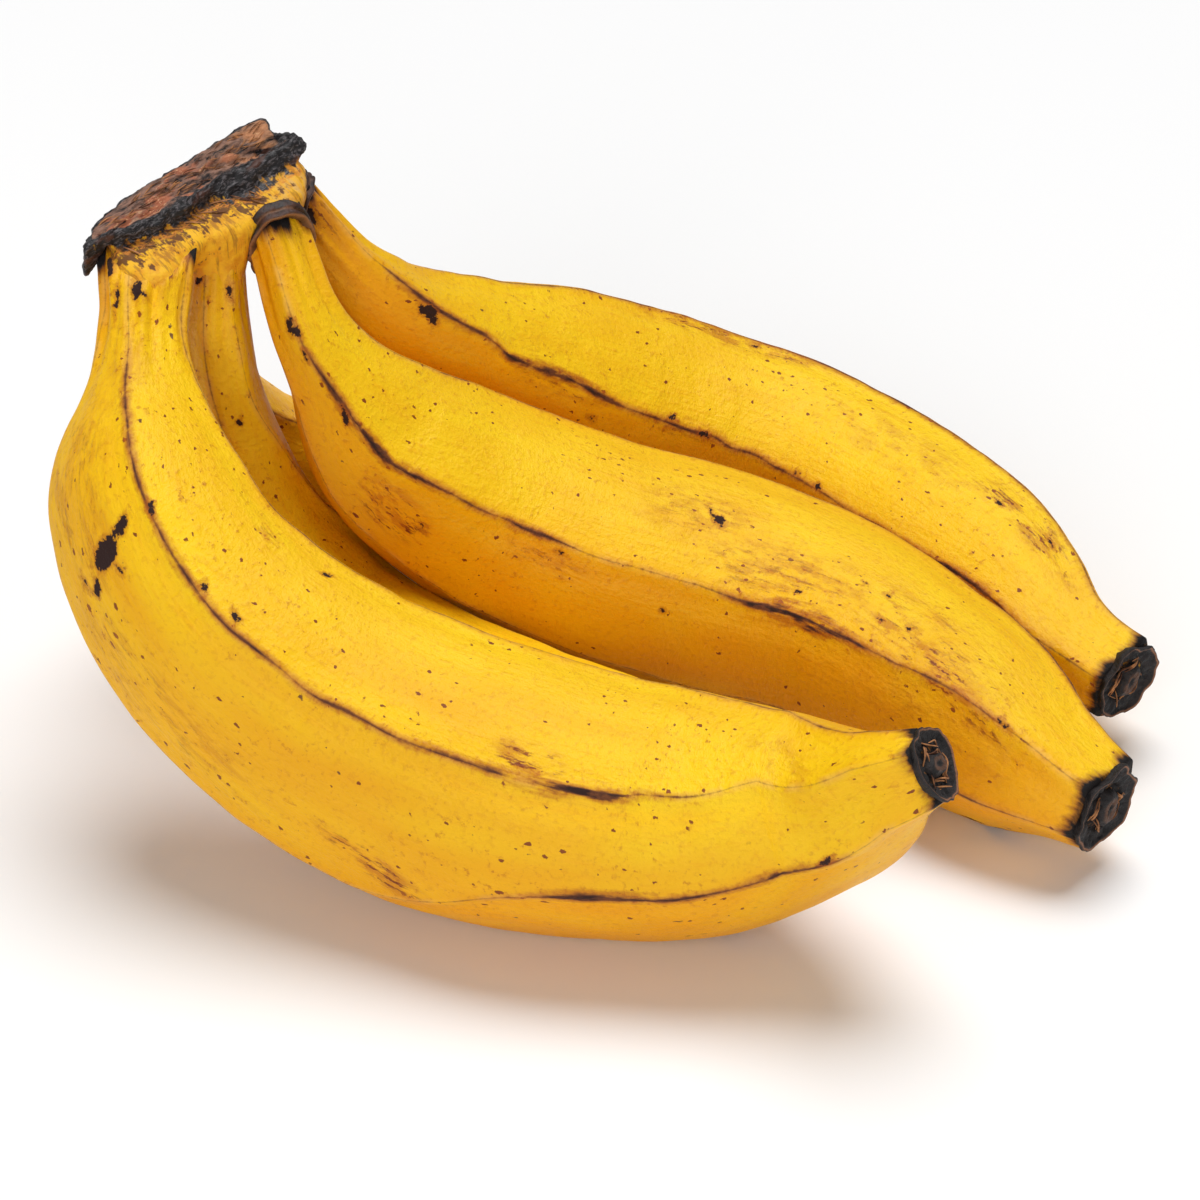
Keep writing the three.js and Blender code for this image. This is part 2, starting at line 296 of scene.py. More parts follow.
# The crown's cut face: its middle, its long direction, the way across it and its outline
FACE_MIDDLE = np.array([-87, 14, 114.5]) - MIDDLE_OF_HAND
FACE_LONG_WAY = (0.69, 0.69, 0.13)
FACE_CROSS_WAY = (-0.68, 0.68, 0.27)
FACE_OUTLINE = [
    (-28.5, 1.6), (-24, 1), (-17, -0.9), (-10, -2.1), (-2, -1.8), (5, -0.6), (11, -1.6), (18, -1.4),
    (24.5, -1), (25.6, 1.8), (23, 3.6), (24.4, 7.2), (20, 9), (8, 8.4), (-6, 8), (-17, 7),
    (-25, 4.4),
]
OUTLINE_STEPS = 12
RIM_DEPTH = 3.2
LIP_DROP = 5.5
RIM_LEAN = 0.85
RIM_THICKNESS = 0.9
NEAR_RIM_WIDTH = 2.8
CLEFT_DEPTH = 1.8
EDGE_ROUNDING = 1

# The crown's sides, below the cut face
SIDE_UNDER_FACE = 3.5
FAR_SIDE_SLOPE = 0.35
PEEL_UNDER_FACE = 4.3
COLLAR_UNDER_FACE = 1.6
ROOF_SOFTNESS = 1.5
CORE_START = np.array([-6.0, -2, -6])
CORE_END = np.array([14.0, -3, -8])
CORE_RADII = (6, 7.5)
CROWN_STEP = 0.5
CROWN_GRID_CORNER = np.array([-38.0, -26.0, -31.0])
CROWN_GRID_SIZE = np.array([72.0, 44.0, 37.0])

# The seed of each random swell or scatter, to which most add the finger's number
SEED = {
    "long_swell": 10, "short_swell": 20, "broad_gold": 30, "fine_gold": 35, "char_edge": 40,
    "fleck_share": 50, "green_share": 60, "mottle": 65, "small_marks": 70, "ridge_sway": 500,
    "end_lobes": 60, "end_rim": 80, "end_edge": 85, "end_folds": 90, "end_spokes": 95,
    "threads": 200, "collar_lean": 300, "collar_bumps": 305, "collar_cracks": 310,
    "long_fibres": 401, "short_fibres": 402, "face_bend": 403, "slab_edge": 410,
    "rim_folds": 420, "rim_grit": 421, "cut_grain": 422, "side_grain": 423,
}

# Floor, light and camera, in metres and watts
FLOOR_REACH = 6
SUN_STRENGTH = 2.45
SUN_WAY = (0.1, 0.22, 1.0)
SUN_ANGLE = 40
FILL_WATTS = 18
FILL_WAY = (-0.2, -0.9, 0.45)
FILL_DISTANCE = 2.2
FILL_SIZE = 1.3
ROOM_STRENGTH = 0.19
CAMERA_PLACE = (-0.006, -0.7019, 0.4639)
CAMERA_TILT = 58
CAMERA_LENS = 120
CAMERA_SENSOR = 36
CAMERA_NEAR = 0.01


def unit(vector):
    """The same direction with a length of 1."""
    vector = np.asarray(vector, float)
    return vector / np.linalg.norm(vector, axis=-1, keepdims=True)


ALONG = unit(FACE_LONG_WAY)
UP = unit(np.cross(ALONG, FACE_CROSS_WAY))
ACROSS = np.cross(UP, ALONG)
CROWN_AXES = np.stack([ALONG, ACROSS, UP])


def fade(value, start, end):
    """0 before start, 1 past end and smooth between; start may be above end."""
    share = np.clip((value - start) / (end - start), 0, 1)
    return share * share * (3 - 2 * share)


def hill(value, middle, width):
    """1 at the middle and falling off to both sides."""
    return np.exp(-(((value - middle) / width) ** 2))


def course_through(points, count, meets_ends=True):
    """A smooth course through given points. meets_ends carries the end directions on."""
    points = np.asarray(points, float)
    if meets_ends:
        first, last = 2 * points[0] - points[1], 2 * points[-1] - points[-2]
    else:
        first, last = points[0], points[-1]
    padded = np.vstack([first, points, last])
    place = np.linspace(0, len(points) - 1, count)
    index = np.minimum(place.astype(int), len(points) - 2)
    part = (place - index)[:, None]
    before, start, end, after = (padded[index + step] for step in range(4))
    return 0.5 * (
        2 * start
        + (end - before) * part
        + (2 * before - 5 * start + 4 * end - after) * part**2
        + (3 * start - before - 3 * end + after) * part**3
    )


def ripple(points, wavelength, seed, waves=14):
    """A soft, seeded, random swell between about -1 and 1 over points in millimetres."""
    chance = np.random.default_rng(seed)
    ways = unit(chance.normal(size=(waves, points.shape[-1])))
    turns = 2 * math.pi / (wavelength * chance.uniform(0.7, 1.5, waves))
    starts = chance.uniform(0, 2 * math.pi, waves)
    swell = np.zeros(points.shape[:-1])
    for way, turn, start in zip(ways, turns, starts):
        swell += np.sin(points @ way * turn + start)
    return swell * math.sqrt(2 / waves) * 0.7


def crumple(points, wavelength, seed):
    """Sharp creases between round folds, from 0 to about 1."""
    return 1 - np.abs(ripple(points, wavelength, seed)) ** 0.7


def lobes(angle, wavelength, seed):
    """A ripple that meets itself after a full turn."""
    circle = np.stack([np.cos(angle), np.sin(angle)], -1) * LOBE_CIRCLE
    return ripple(circle, wavelength, seed)


def full_turn(count):
    """Even angles round a full turn."""
    return np.arange(count) * 2 * math.pi / count


def outward_at(angle, facing, lower):
    """The directions at angles round a middle line."""
    return np.cos(angle)[..., None] * facing + np.sin(angle)[..., None] * lower


def in_crown(points):
    """Points of the hand as seen from the middle of the cut face: along, across and up."""
    return (points - FACE_MIDDLE) @ CROWN_AXES.T


def in_hand(points):
    """Points seen from the middle of the cut face, brought back to the hand's own frame."""
    return points @ CROWN_AXES + FACE_MIDDLE


def set_back_under_face(points, depth):
    """Points less than a depth below the cut face are moved away from the viewer, beneath it."""
    for _ in range(2):
        height = in_crown(points)[..., 2] + depth
        eased = (height + ROOF_SOFTNESS) ** 2 / (4 * ROOF_SOFTNESS)
        excess = np.where(np.abs(height) < ROOF_SOFTNESS, eased, np.maximum(height, 0))
        points = points - (excess / (UP @ FACING))[..., None] * FACING
    return points


def piece_from(name, points, faces, material, readings=None, smooth=True):
    """A mesh object at the origin from points in millimetres, with named readings on its points."""
    mesh = bpy.data.meshes.new(name)
    mesh.from_pydata((np.asarray(points) * MILLIMETRE).tolist(), [], faces)
    mesh.update()
    mesh.polygons.foreach_set("use_smooth", np.full(len(mesh.polygons), smooth))
    for label, values in (readings or {}).items():
        values = np.asarray(values, np.float32)
        if values.ndim == 2:
            layer = mesh.attributes.new(label, "FLOAT_VECTOR", "POINT")
            layer.data.foreach_set("vector", values.ravel())
        else:
            layer = mesh.attributes.new(label, "FLOAT", "POINT")
            layer.data.foreach_set("value", values)
    mesh.materials.append(material)
    piece = bpy.data.objects.new(name, mesh)
    bpy.context.scene.collection.objects.link(piece)
    return piece


def ring_faces(ring_count, column_count):
    """Quads between rings that are closed round their columns."""
    ring = np.arange(ring_count - 1)[:, None] * column_count
    column = np.arange(column_count)[None, :]
    beside = (column + 1) % column_count
    far_ring = ring + column_count
    corners = [ring + column, ring + beside, far_ring + beside, far_ring + column]
    return np.stack(corners, -1).reshape(-1, 4).tolist()


def cap_faces(ring_start, column_count, middle, outward):
    """Triangles that close one ring round a middle point."""
    faces = []
    for column in range(column_count):
        here = ring_start + column
        beside = ring_start + (column + 1) % column_count
        faces.append((middle, here, beside) if outward else (middle, beside, here))
    return faces


def closed_tube(rings, ends):
    """Points and faces of rings of points that close on a middle point at each end."""
    ring_count, column_count = rings.shape[:2]
    count = ring_count * column_count
    faces = ring_faces(ring_count, column_count)
    faces += cap_faces(0, column_count, count, False)
    faces += cap_faces(count - column_count, column_count, count + 1, True)
    return np.vstack([rings.reshape(-1, 3), ends]), faces


def tube_readings(readings):
    """Readings on rings of points, point by point, with one more for each end of the tube."""
    in_line = {}
    for label, values in readings.items():
        values = values.reshape(-1, 3) if values.ndim == 3 else values.ravel()
        in_line[label] = np.concatenate([values, values[[0, -1]]])
    return in_line


# Materials: a reading is a number that changes over a surface


class Reading:
    """A shader number. Arithmetic on it adds Math nodes to the plan that it belongs to."""

    def __init__(self, plan, socket):
        self.plan = plan
        self.socket = socket

    def other(self, label):
        """Another output of the same node."""
        return Reading(self.plan, self.socket.node.outputs[label])

    def __add__(self, value):
        return self.plan.maths("ADD", self, value)

    def __radd__(self, value):
        return self.plan.maths("ADD", value, self)

    def __sub__(self, value):
        return self.plan.maths("SUBTRACT", self, value)

    def __rsub__(self, value):
        return self.plan.maths("SUBTRACT", value, self)

    def __mul__(self, value):
        return self.plan.maths("MULTIPLY", self, value)

    def held(self):
        """Kept between 0 and 1."""
        return self.plan.maths("MINIMUM", self.plan.maths("MAXIMUM", self, 0.0), 1.0)

    def fade(self, start, end):
        """0 before start, 1 past end and smooth between."""
        sockets = {"Value": self, "From Min": start, "From Max": end}
        settings = {"interpolation_type": "SMOOTHSTEP"}
        return self.plan.add("ShaderNodeMapRange", settings, sockets, "Result")


class NodePlan:
    """Adds nodes to one node tree."""

    def __init__(self, tree):
        self.tree = tree

    def add(self, kind, settings, sockets, output=0):
        """One node: its settings come first, then a value or a link for each of its sockets."""
        node = self.tree.nodes.new(kind)
        for label, value in settings.items():
            setattr(node, label, value)
        for label, value in sockets.items():
            if isinstance(value, Reading):
                self.tree.links.new(value.socket, node.inputs[label])
            else:
                node.inputs[label].default_value = value
        return Reading(self, node.outputs[output])

    def maths(self, operation, *values):
        """One Math node."""
        return self.add("ShaderNodeMath", {"operation": operation}, dict(enumerate(values)))


class Finish(NodePlan):
    """A material made in code."""

    def __init__(self, name):
        self.material = bpy.data.materials.new(name)
        self.material.use_nodes = True
        super().__init__(self.material.node_tree)
        self.shader = self.tree.nodes["Principled BSDF"]

    def number(self, label):
        """A number that the piece carries on its points."""
        return self.add("ShaderNodeAttribute", {"attribute_name": label}, {}, "Fac")

    def place(self, label):
        """A place that the piece carries on its points."""
        return self.add("ShaderNodeAttribute", {"attribute_name": label}, {}, "Vector")

    def on_places(self, operation, place, amounts, socket=1):
        """Arithmetic on places."""
        sockets = {0: place, socket: amounts}
        return self.add("ShaderNodeVectorMath", {"operation": operation}, sockets)

    def stretched(self, place, amounts):
        """The place with each axis times an amount; a low one draws out what lies along it."""
        return self.on_places("MULTIPLY", place, amounts)

    def jittered(self, place, wavelength, reach):
        """The place moved about by a noise, so that what is drawn there loses its regularity."""
        sockets = {"Vector": place, "Scale": 1 / wavelength, "Detail": 2.0}
        noise = self.add("ShaderNodeTexNoise", {}, sockets, "Color")
        centred = self.on_places("SUBTRACT", noise, (0.5, 0.5, 0.5))
        return self.on_places("ADD", place, self.on_places("SCALE", centred, reach, "Scale"))

    def noise(self, place, wavelength, detail=2.0, roughness=0.5):
        """A cloudy number between 0 and 1."""
        sockets = {"Vector": place, "Scale": 1 / wavelength, "Detail": detail, "Roughness": roughness}
        return self.add("ShaderNodeTexNoise", {}, sockets, "Fac")

    def dots(self, place, spacing, share, radius, raggedness):
        """Ragged dots of random size, in a share of the cells of a random grid."""
        sockets = {"Vector": place, "Scale": 1 / spacing}
        gap = self.add("ShaderNodeTexVoronoi", {}, sockets, "Distance")
        lot = self.add("ShaderNodeSeparateColor", {}, {"Color": gap.other("Color")}, "Red")
        size = lot.other("Green")
        shown = (share - lot).fade(0.0, 0.03)
        return (size * (radius / spacing) + raggedness - gap).fade(-0.02, 0.03) * shown

    def layered(self, colour, *layers):
        """A ground colour with others laid over it in turn, each as far as its share goes."""
        for share, over in layers:
            sockets = {0: share, 6: colour, 7: over}
            colour = self.add("ShaderNodeMix", {"data_type": "RGBA"}, sockets, 2)
        return colour

    def wear(self, colour, roughness, height, specular):
        """Puts the looks on the shader. Height is in millimetres."""
        self.tree.links.new(colour.socket, self.shader.inputs["Base Color"])
        self.tree.links.new(roughness.socket, self.shader.inputs["Roughness"])
        bump = self.add("ShaderNodeBump", {}, {"Height": height, "Distance": MILLIMETRE})
        self.tree.links.new(bump.socket, self.shader.inputs["Normal"])
        self.shader.inputs["Specular IOR Level"].default_value = specular
        return self.material


def tone(red, green, blue):
    """A colour given in the usual 0 to 255 steps, turned into light by the standard curve."""
    channels = np.array([red, green, blue]) / 255
    linear = np.where(channels <= 0.04045, channels / 12.92, ((channels + 0.055) / 1.055) ** 2.4)
    return (*linear.tolist(), 1.0)


# The peel's colours
BRIGHT_YELLOW = tone(251, 205, 12)
DEEP_GOLD = tone(236, 161, 0)
OLIVE_YELLOW = tone(196, 158, 14)
PALE_TAN = tone(232, 176, 84)
ORANGE_STAIN = tone(206, 122, 18)
RIPE_BROWN = tone(176, 92, 14)
RED_BROWN = tone(128, 56, 16)
LINE_BROWN = tone(92, 48, 34)
MARK_BROWN = tone(46, 24, 20)
CHAR_BLACK = tone(20, 15, 15)

# The crown's colours: its cut face, its rim and its sides
CUT_BROWN = tone(58, 48, 46)
CUT_TAN = tone(150, 112, 94)
CUT_RUST = tone(184, 104, 68)
CUT_STRAW = tone(240, 196, 148)
CUT_FRESH = tone(206, 150, 104)
CUT_BLACK = tone(20, 16, 17)
RIM_BLACK = tone(20, 17, 19)
# Grey flecks on the black rim are painted glints, a painted highlight
RIM_PAINTED_GLINT = tone(92, 86, 88)
RIM_BROWN = tone(84, 46, 30)
SIDE_YELLOW = tone(244, 184, 20)
SIDE_GOLD = tone(228, 154, 8)
SIDE_TAN = tone(216, 170, 98)
SIDE_BROWN = tone(140, 84, 24)
# Brown below the rim: partly real staining, partly painted shade under the rim's overhang
STAIN_AND_SHADE_BROWN = tone(84, 44, 22)
SHRED_ORANGE = tone(214, 132, 40)

# The dried pieces' colours
HUSK_BLACK = tone(14, 11, 12)
HUSK_GREY = tone(40, 32, 31)
HUSK_EDGE = tone(150, 100, 68)
COLLAR_BLACK = tone(28, 17, 15)
COLLAR_BROWN = tone(74, 42, 30)
COLLAR_EDGE = tone(150, 104, 70)
FIBRE_RUST = tone(84, 48, 30)
FIBRE_STRAW = tone(190, 130, 82)

FLOOR_WHITE = tone(247, 247, 247)
FLOOR_BRIGHT = tone(249, 249, 249)


def ripe_peel():
    """Waxy yellow peel with flecks, dark ridge lines, bruises and blackened ends, with painted shade
    on the lower facets and a painted highlight on the ridge crests.
    """
    peel = Finish("ripe_peel")
    place = peel.place("straight")
    wandering = peel.jittered(place, 1.0, 0.9)
    grain = peel.noise(peel.stretched(place, (1, 1, 0.07)), 1.1, 2.0, 0.6)
    speckle = peel.noise(place, 1.3, 3.0, 0.65)
    torn = peel.noise(peel.stretched(place, (1, 1, 0.35)), 2.6, 4.0, 0.65)
    scratch_lines = peel.noise(peel.stretched(wandering, (1, 1, 0.1)), 0.8, 2.0, 0.6)
    drawn_out = peel.noise(peel.stretched(place, (1, 1, 0.14)), 2.2, 3.0, 0.6)
    ridge_gap = peel.number("ridge_gap")
    mottle = peel.number("mottle")
    flecked = peel.number("flecked")
    smudge = peel.number("smudge")
    streak = peel.number("streak")

    # Pale tan along the ridge crests: partly the peel's own rubbed tone, partly a painted highlight
    crest_tan_and_highlight = (1.3 - ridge_gap).fade(0.0, 1.2)
    gritty, frayed = speckle - 0.5, torn - 0.5
    shortened = peel.stretched(wandering, (1, 1, 0.6))
    fine_dots = peel.dots(shortened, 1.7, flecked * 0.8 + 0.06, 0.4, gritty * 0.6)
    coarse_dots = peel.dots(shortened, 5.0, flecked * 0.36 + 0.02, 0.55, gritty * 0.24)
    faint_dots = speckle.fade(0.58, 0.68) * torn.fade(0.46, 0.6)

    stained = (smudge * (torn.fade(0.4, 0.64) + mottle * 0.3)).held()
    scuffed = (smudge * torn.fade(0.46, 0.62)).held()
    scraped = ((smudge - 0.3) * 1.7).held()
    scratches = scraped * scratch_lines.fade(0.52, 0.66) * torn.fade(0.38, 0.56)

    reach = streak * (drawn_out * 3.4 - 1.05)
    halo = (reach * 1.4 + 0.7 - ridge_gap + gritty * 1.4).fade(-0.6, 1.1)
    halo = halo * streak.fade(0.05, 0.45)
    line = (reach + gritty * 0.6 - ridge_gap).fade(-0.25, 0.4)
    core = (reach - 0.1 - ridge_gap).fade(0.0, 0.6) * torn.fade(0.36, 0.54)

    depth_in_mark = peel.number("mark") + frayed * 0.5 + gritty * 2.2
    bruise = depth_in_mark.fade(-0.05, 0.2)
    # The char reading also carries the stalk's blackening, which on the front finger is partly painted
    # shade
    char_edge = peel.number("char") + (grain - 0.5) * 3 + frayed * 3
    char = char_edge.fade(-0.7, 0.9)

    skin = peel.layered(
        BRIGHT_YELLOW,
        # Deeper gold per facet: partly the peel's own tone, partly painted shade on the lower facets
        (peel.number("gold_and_shade"), DEEP_GOLD),
        (peel.number("green"), OLIVE_YELLOW),
        # Pale tan on the ridge crests, partly a painted highlight
        (crest_tan_and_highlight * 0.5 * mottle.fade(0.3, 0.6), PALE_TAN),
        (grain.fade(0.52, 0.74) * 0.3, DEEP_GOLD),
        (speckle.fade(0.5, 0.66) * 0.2, ORANGE_STAIN),
        (faint_dots * flecked * 0.7, RIPE_BROWN),
        (fine_dots * 0.95, RED_BROWN),
        (coarse_dots * 0.9, LINE_BROWN),
        (stained * 0.42, ORANGE_STAIN),
        (scuffed * 0.4, RIPE_BROWN),
        (scratches, RED_BROWN),
        (halo * 0.75, RIPE_BROWN),
        (line * 0.9, LINE_BROWN),
        (core, MARK_BROWN),
        (depth_in_mark.fade(-0.8, 0.1) * 0.6, RIPE_BROWN),
        (bruise, MARK_BROWN),
        (char_edge.fade(-2.6, 0.2) * 0.8, RED_BROWN),
        (char, CHAR_BLACK),
    )
    dark = (line + bruise + char).held()
    roughness = mottle * 0.12 + 0.45 + dark * 0.24
    height = grain * 0.14 + mottle * 0.15 + speckle * 0.34 + scratch_lines * 0.14
    return peel.wear(skin, roughness, height, 0.26)


def dried_crown():
    """Brown fibres on the cut, a black crumpled rim with painted glints and streaked yellow sides
    below it, stained and with painted shade just under the rim.
    """
    crown = Finish("dried_crown")
    place = crown.place("crown_place")
    wandering = crown.jittered(place, 4, 2.2)
    fibres = crown.noise(crown.stretched(wandering, (0.16, 1, 1)), 0.9, 4.0, 0.65)
    patches = crown.noise(crown.stretched(wandering, (0.4, 1, 1)), 4.0, 3.0)
    fine = crown.noise(crown.stretched(wandering, (0.25, 1, 1)), 0.4, 3.0, 0.6)
    streaks = crown.noise(crown.stretched(place, (1, 0.22, 0.14)), 1.2, 4.0, 0.6)
    lumps = crown.noise(wandering, 2.2, 4.0, 0.6)
    wide_end = crown.number("wide_end")
    cut_reading = crown.number("cut_share")
    lumpy, streaky = lumps - 0.5, streaks - 0.5

    cut = crown.layered(
        CUT_BROWN,
        (fibres.fade(0.36, 0.58), CUT_TAN),
        (patches.fade(0.48, 0.6) * 0.8, CUT_RUST),
        (fine.fade(0.56, 0.68) * patches.fade(0.44, 0.6) * 0.8, CUT_STRAW),
        (patches.fade(0.4, 0.6) * wide_end * 0.6, CUT_FRESH),
        (fibres.fade(0.42, 0.32), CUT_BLACK),
    )
    rim = crown.layered(
        RIM_BLACK,
        # Grey flecks on the rim: painted glints
        (fine.fade(0.48, 0.66), RIM_PAINTED_GLINT),
        (patches.fade(0.56, 0.68) * 0.7, RIM_BROWN),
    )
    above_foot = crown.number("above_rim_foot") + lumpy * 3.2 + streaky * 3
    # Darker brown up to 8.5 mm below the rim's foot, less at the wide end: partly real staining,
    # partly painted shade under the rim's overhang
    near_rim = above_foot.fade(-8.5, -1.0) * (0.9 - wide_end * 0.55)
    stain_and_shade_under_rim = (near_rim + lumpy * 2.4 + streaky * 2.4).fade(0.5, 0.85)
    shreds = above_foot.fade(-1.5, -0.9) * above_foot.fade(0.0, -0.5) * fine.fade(0.42, 0.55)
    side = crown.layered(
        SIDE_YELLOW,
        (lumps.fade(0.35, 0.65), SIDE_GOLD),
        (streaks.fade(0.42, 0.62) * (wide_end * 0.75 + 0.05), SIDE_TAN),
        (streaks.fade(0.48, 0.36) * 0.6, SIDE_BROWN),
        (crown.dots(wandering, 3.5, 0.3, 0.6, lumpy * 0.3) * 0.9, MARK_BROWN),
        (stain_and_shade_under_rim * 0.9, STAIN_AND_SHADE_BROWN),
        (shreds * 0.8, SHRED_ORANGE),
    )
    rim_share = above_foot.fade(-0.4, 0.3)
    cut_share = (cut_reading + lumpy * 0.5).fade(0.35, 0.6)
    colour = crown.layered(side, (rim_share, rim), (cut_share, cut))
    roughness = fibres * 0.3 + 0.55 - rim_share * (1 - cut_share) * 0.2
    relief = fibres * 0.7 + fine * 0.25
    height = relief * 0.3 + streaks * 0.15 + relief * cut_reading * 0.7
    return crown.wear(colour, roughness, height, 0.4)


def crinkled_skin(name, tones, lump_size, crinkle_size, drift, edge_share, roughness, relief):
    """Dry skin in a dark, a light and an edge tone. Drift is how long and how wide its lumps stray.

    Roughness is the least and what lumps add to it; relief is the height of lumps and of crinkles.
    """
    skin = Finish(name)
    dark_tone, light_tone, edge_tone = tones
    drift_size, drift_reach = drift
    least_roughness, lump_roughness = roughness
    lump_height, crinkle_height = relief
    wandering = skin.jittered(skin.place("husk_place"), drift_size, drift_reach)
    lumps = skin.noise(wandering, lump_size, 4.0, 0.6)
    crinkles = skin.noise(wandering, crinkle_size, 3.0, 0.6)
    edges = skin.number("edge") * (crinkles + edge_share)
    colour = skin.layered(dark_tone, (lumps.fade(0.35, 0.7), light_tone), (edges, edge_tone))
    height = lumps * lump_height + crinkles * crinkle_height
    return skin.wear(colour, lumps * lump_roughness + least_roughness, height, 0.45)


def dried_husk():
    """Black, crinkled husk with brown edges, for the blossom ends."""
    return crinkled_skin(
        "dried_husk",
        (HUSK_BLACK, HUSK_GREY, HUSK_EDGE),
        lump_size=2.0,
        crinkle_size=0.5,
        drift=(2.5, 1.2),
        edge_share=0.5,
        roughness=(0.5, 0.3),
        relief=(0.5, 0.2),
    )


def collar_skin():
    """Dark brown, cracked, slightly shiny skin of the dried collars."""
    return crinkled_skin(
        "collar_skin",
        (COLLAR_BLACK, COLLAR_BROWN, COLLAR_EDGE),
        lump_size=1.8,
        crinkle_size=0.4,
        drift=(2.0, 0.8),
        edge_share=0.3,
        roughness=(0.42, 0.25),
        relief=(0.35, 0.12),
    )


def dried_fibre():
    """Thin stiff threads, from rust brown to straw."""
    fibre = Finish("dried_fibre")
    place = fibre.add("ShaderNodeTexCoord", {}, {}, "Object")
    millimetres = fibre.stretched(place, (1 / MILLIMETRE,) * 3)
    patches = fibre.noise(millimetres, 3.0, 2.0)
    fine = fibre.noise(millimetres, 0.4, 2.0)
    colour = fibre.layered(FIBRE_RUST, (patches.fade(0.35, 0.65), FIBRE_STRAW))
    return fibre.wear(colour, fine * 0.3 + 0.6, fine * 0.1, 0.35)


# Fingers


def middle_line(facts, distances):
    """Points and directions of a finger's middle line at distances from the crown."""
    course = course_through(facts["course"], 4001) - MIDDLE_OF_HAND
    run = np.concatenate([[0], np.cumsum(np.linalg.norm(np.diff(course, axis=0), axis=1))])
    reach = np.asarray(distances, float) * run[-1] / facts["radii"][-1][0]

    def at(lengths):
        """Points at lengths along the course, which goes straight on past its ends."""
        inside = np.stack([np.interp(lengths, run, course[:, axis]) for axis in range(3)], -1)
        start_way, end_way = unit(course[1] - course[0]), unit(course[-1] - course[-2])
        before = np.minimum(lengths, 0)[..., None] * start_way
        after = np.maximum(lengths - run[-1], 0)[..., None] * end_way
        return inside + before + after

    way = unit(at(reach + 0.4) - at(reach - 0.4))
    return at(reach), way


def radius_at(facts, distances):
    """A finger's mean radius at distances from the crown."""
    swapped = [(radius, distance) for distance, radius in facts["radii"]]
    outline = course_through(swapped, 2001, meets_ends=False)
    return np.interp(distances, outline[:, 1], outline[:, 0])


def ring_ways(way):
    """The direction of angle 0 and of a quarter turn on, round a middle line's direction."""
    facing = unit(FACING - (way @ FACING)[..., None] * way)
    return facing, np.cross(way, facing)


def tip_ways(facts):
    """Where a finger's tip ends, its direction there and the two directions across it."""
    middle, way = middle_line(facts, np.array([facts["radii"][-1][0] + 0.1]))
    return middle, way, *ring_ways(way)


def ridge_angles(facts, order, distances):
    """The angles of the ridges at each distance, eased where they turn and never quite even."""
    radius = radius_at(facts, distances)
    easing = np.ones(RIDGE_EASING) / RIDGE_EASING
    angles = []
    for number, stations in enumerate(facts["ridges"]):
        known = np.array(stations, float)
        angle = np.interp(distances, known[:, 0], known[:, 1])
        padded = np.pad(angle, len(easing) // 2, mode="edge")
        eased = np.radians(np.convolve(padded, easing, mode="valid"))
        seed = SEED["ridge_sway"] + 10 * order + number
        angles.append(eased + RIDGE_SWAY * ripple(distances[:, None], 22, seed) / radius)
    return np.stack(angles, 1)


def next_ridges(ridges):
    """The angle of the ridge after each ridge."""
    following = np.roll(ridges, -1, axis=1)
    following[:, -1] += 2 * math.pi
    return following


def section_share(angle, ridges, facet_depth):
    """How far the peel stands out at an angle, as a share of the mean radius."""
    following = next_ridges(ridges)
    middle = ((ridges + following) / 2)[:, None, :]
    half = ((following - ridges) / 2)[:, None, :]
    towards = np.maximum(0, np.cos(angle[..., None] - middle)) / np.cos(half)
    sharp = (towards**CORNER_SHARPNESS).sum(-1) ** (-1 / CORNER_SHARPNESS)
    return 1 + facet_depth[:, None] * (sharp / MEAN_OF_SHARP_SECTION - 1)


def oval_reach(oval, distance, angle, radius):
    """How far each point lies from an oval's middle, 1 at its edge."""
    along, turned, half_length, half_width, turn = oval[:5]
    gap = (angle - math.radians(turned) + math.pi) % (2 * math.pi) - math.pi
    forward, sideways = distance - along, gap * radius
    cosine, sine = math.cos(math.radians(turn)), math.sin(math.radians(turn))
    return np.hypot(
        (forward * cosine + sideways * sine) / half_length,
        (sideways * cosine - forward * sine) / half_width,
    )


def depth_in_ovals(ovals, *place):
    """How deep each point lies in the nearest oval mark, in millimetres; outside is negative."""
    deepest = np.full(place[0].shape, float(NO_MARK))
    for oval in ovals:
        deepest = np.maximum(deepest, min(oval[2:4]) * (1 - oval_reach(oval, *place)))
    return deepest


def soft_ovals(ovals, *place):
    """A share that is full inside each oval, times its strength, and fades out past its edge."""
    total = np.zeros(place[0].shape)
    for oval in ovals:
        total = np.maximum(total, oval[5] * fade(oval_reach(oval, *place), 1.4, 0.4))
    return total


def small_marks(seed, length):
    """A seeded scatter of small bruises on the side of a finger that lies away."""
    chance = np.random.default_rng(seed)
    marks = []
    for _ in range(SMALL_MARKS):
        distance, angle = chance.uniform(20, length - 15), chance.uniform(110, 250)
        size = chance.uniform(0.7, 2.2)
        half_length = size * chance.uniform(1, 2)
        marks.append((distance, angle, half_length, size * 0.6, chance.uniform(-30, 30)))
    return marks


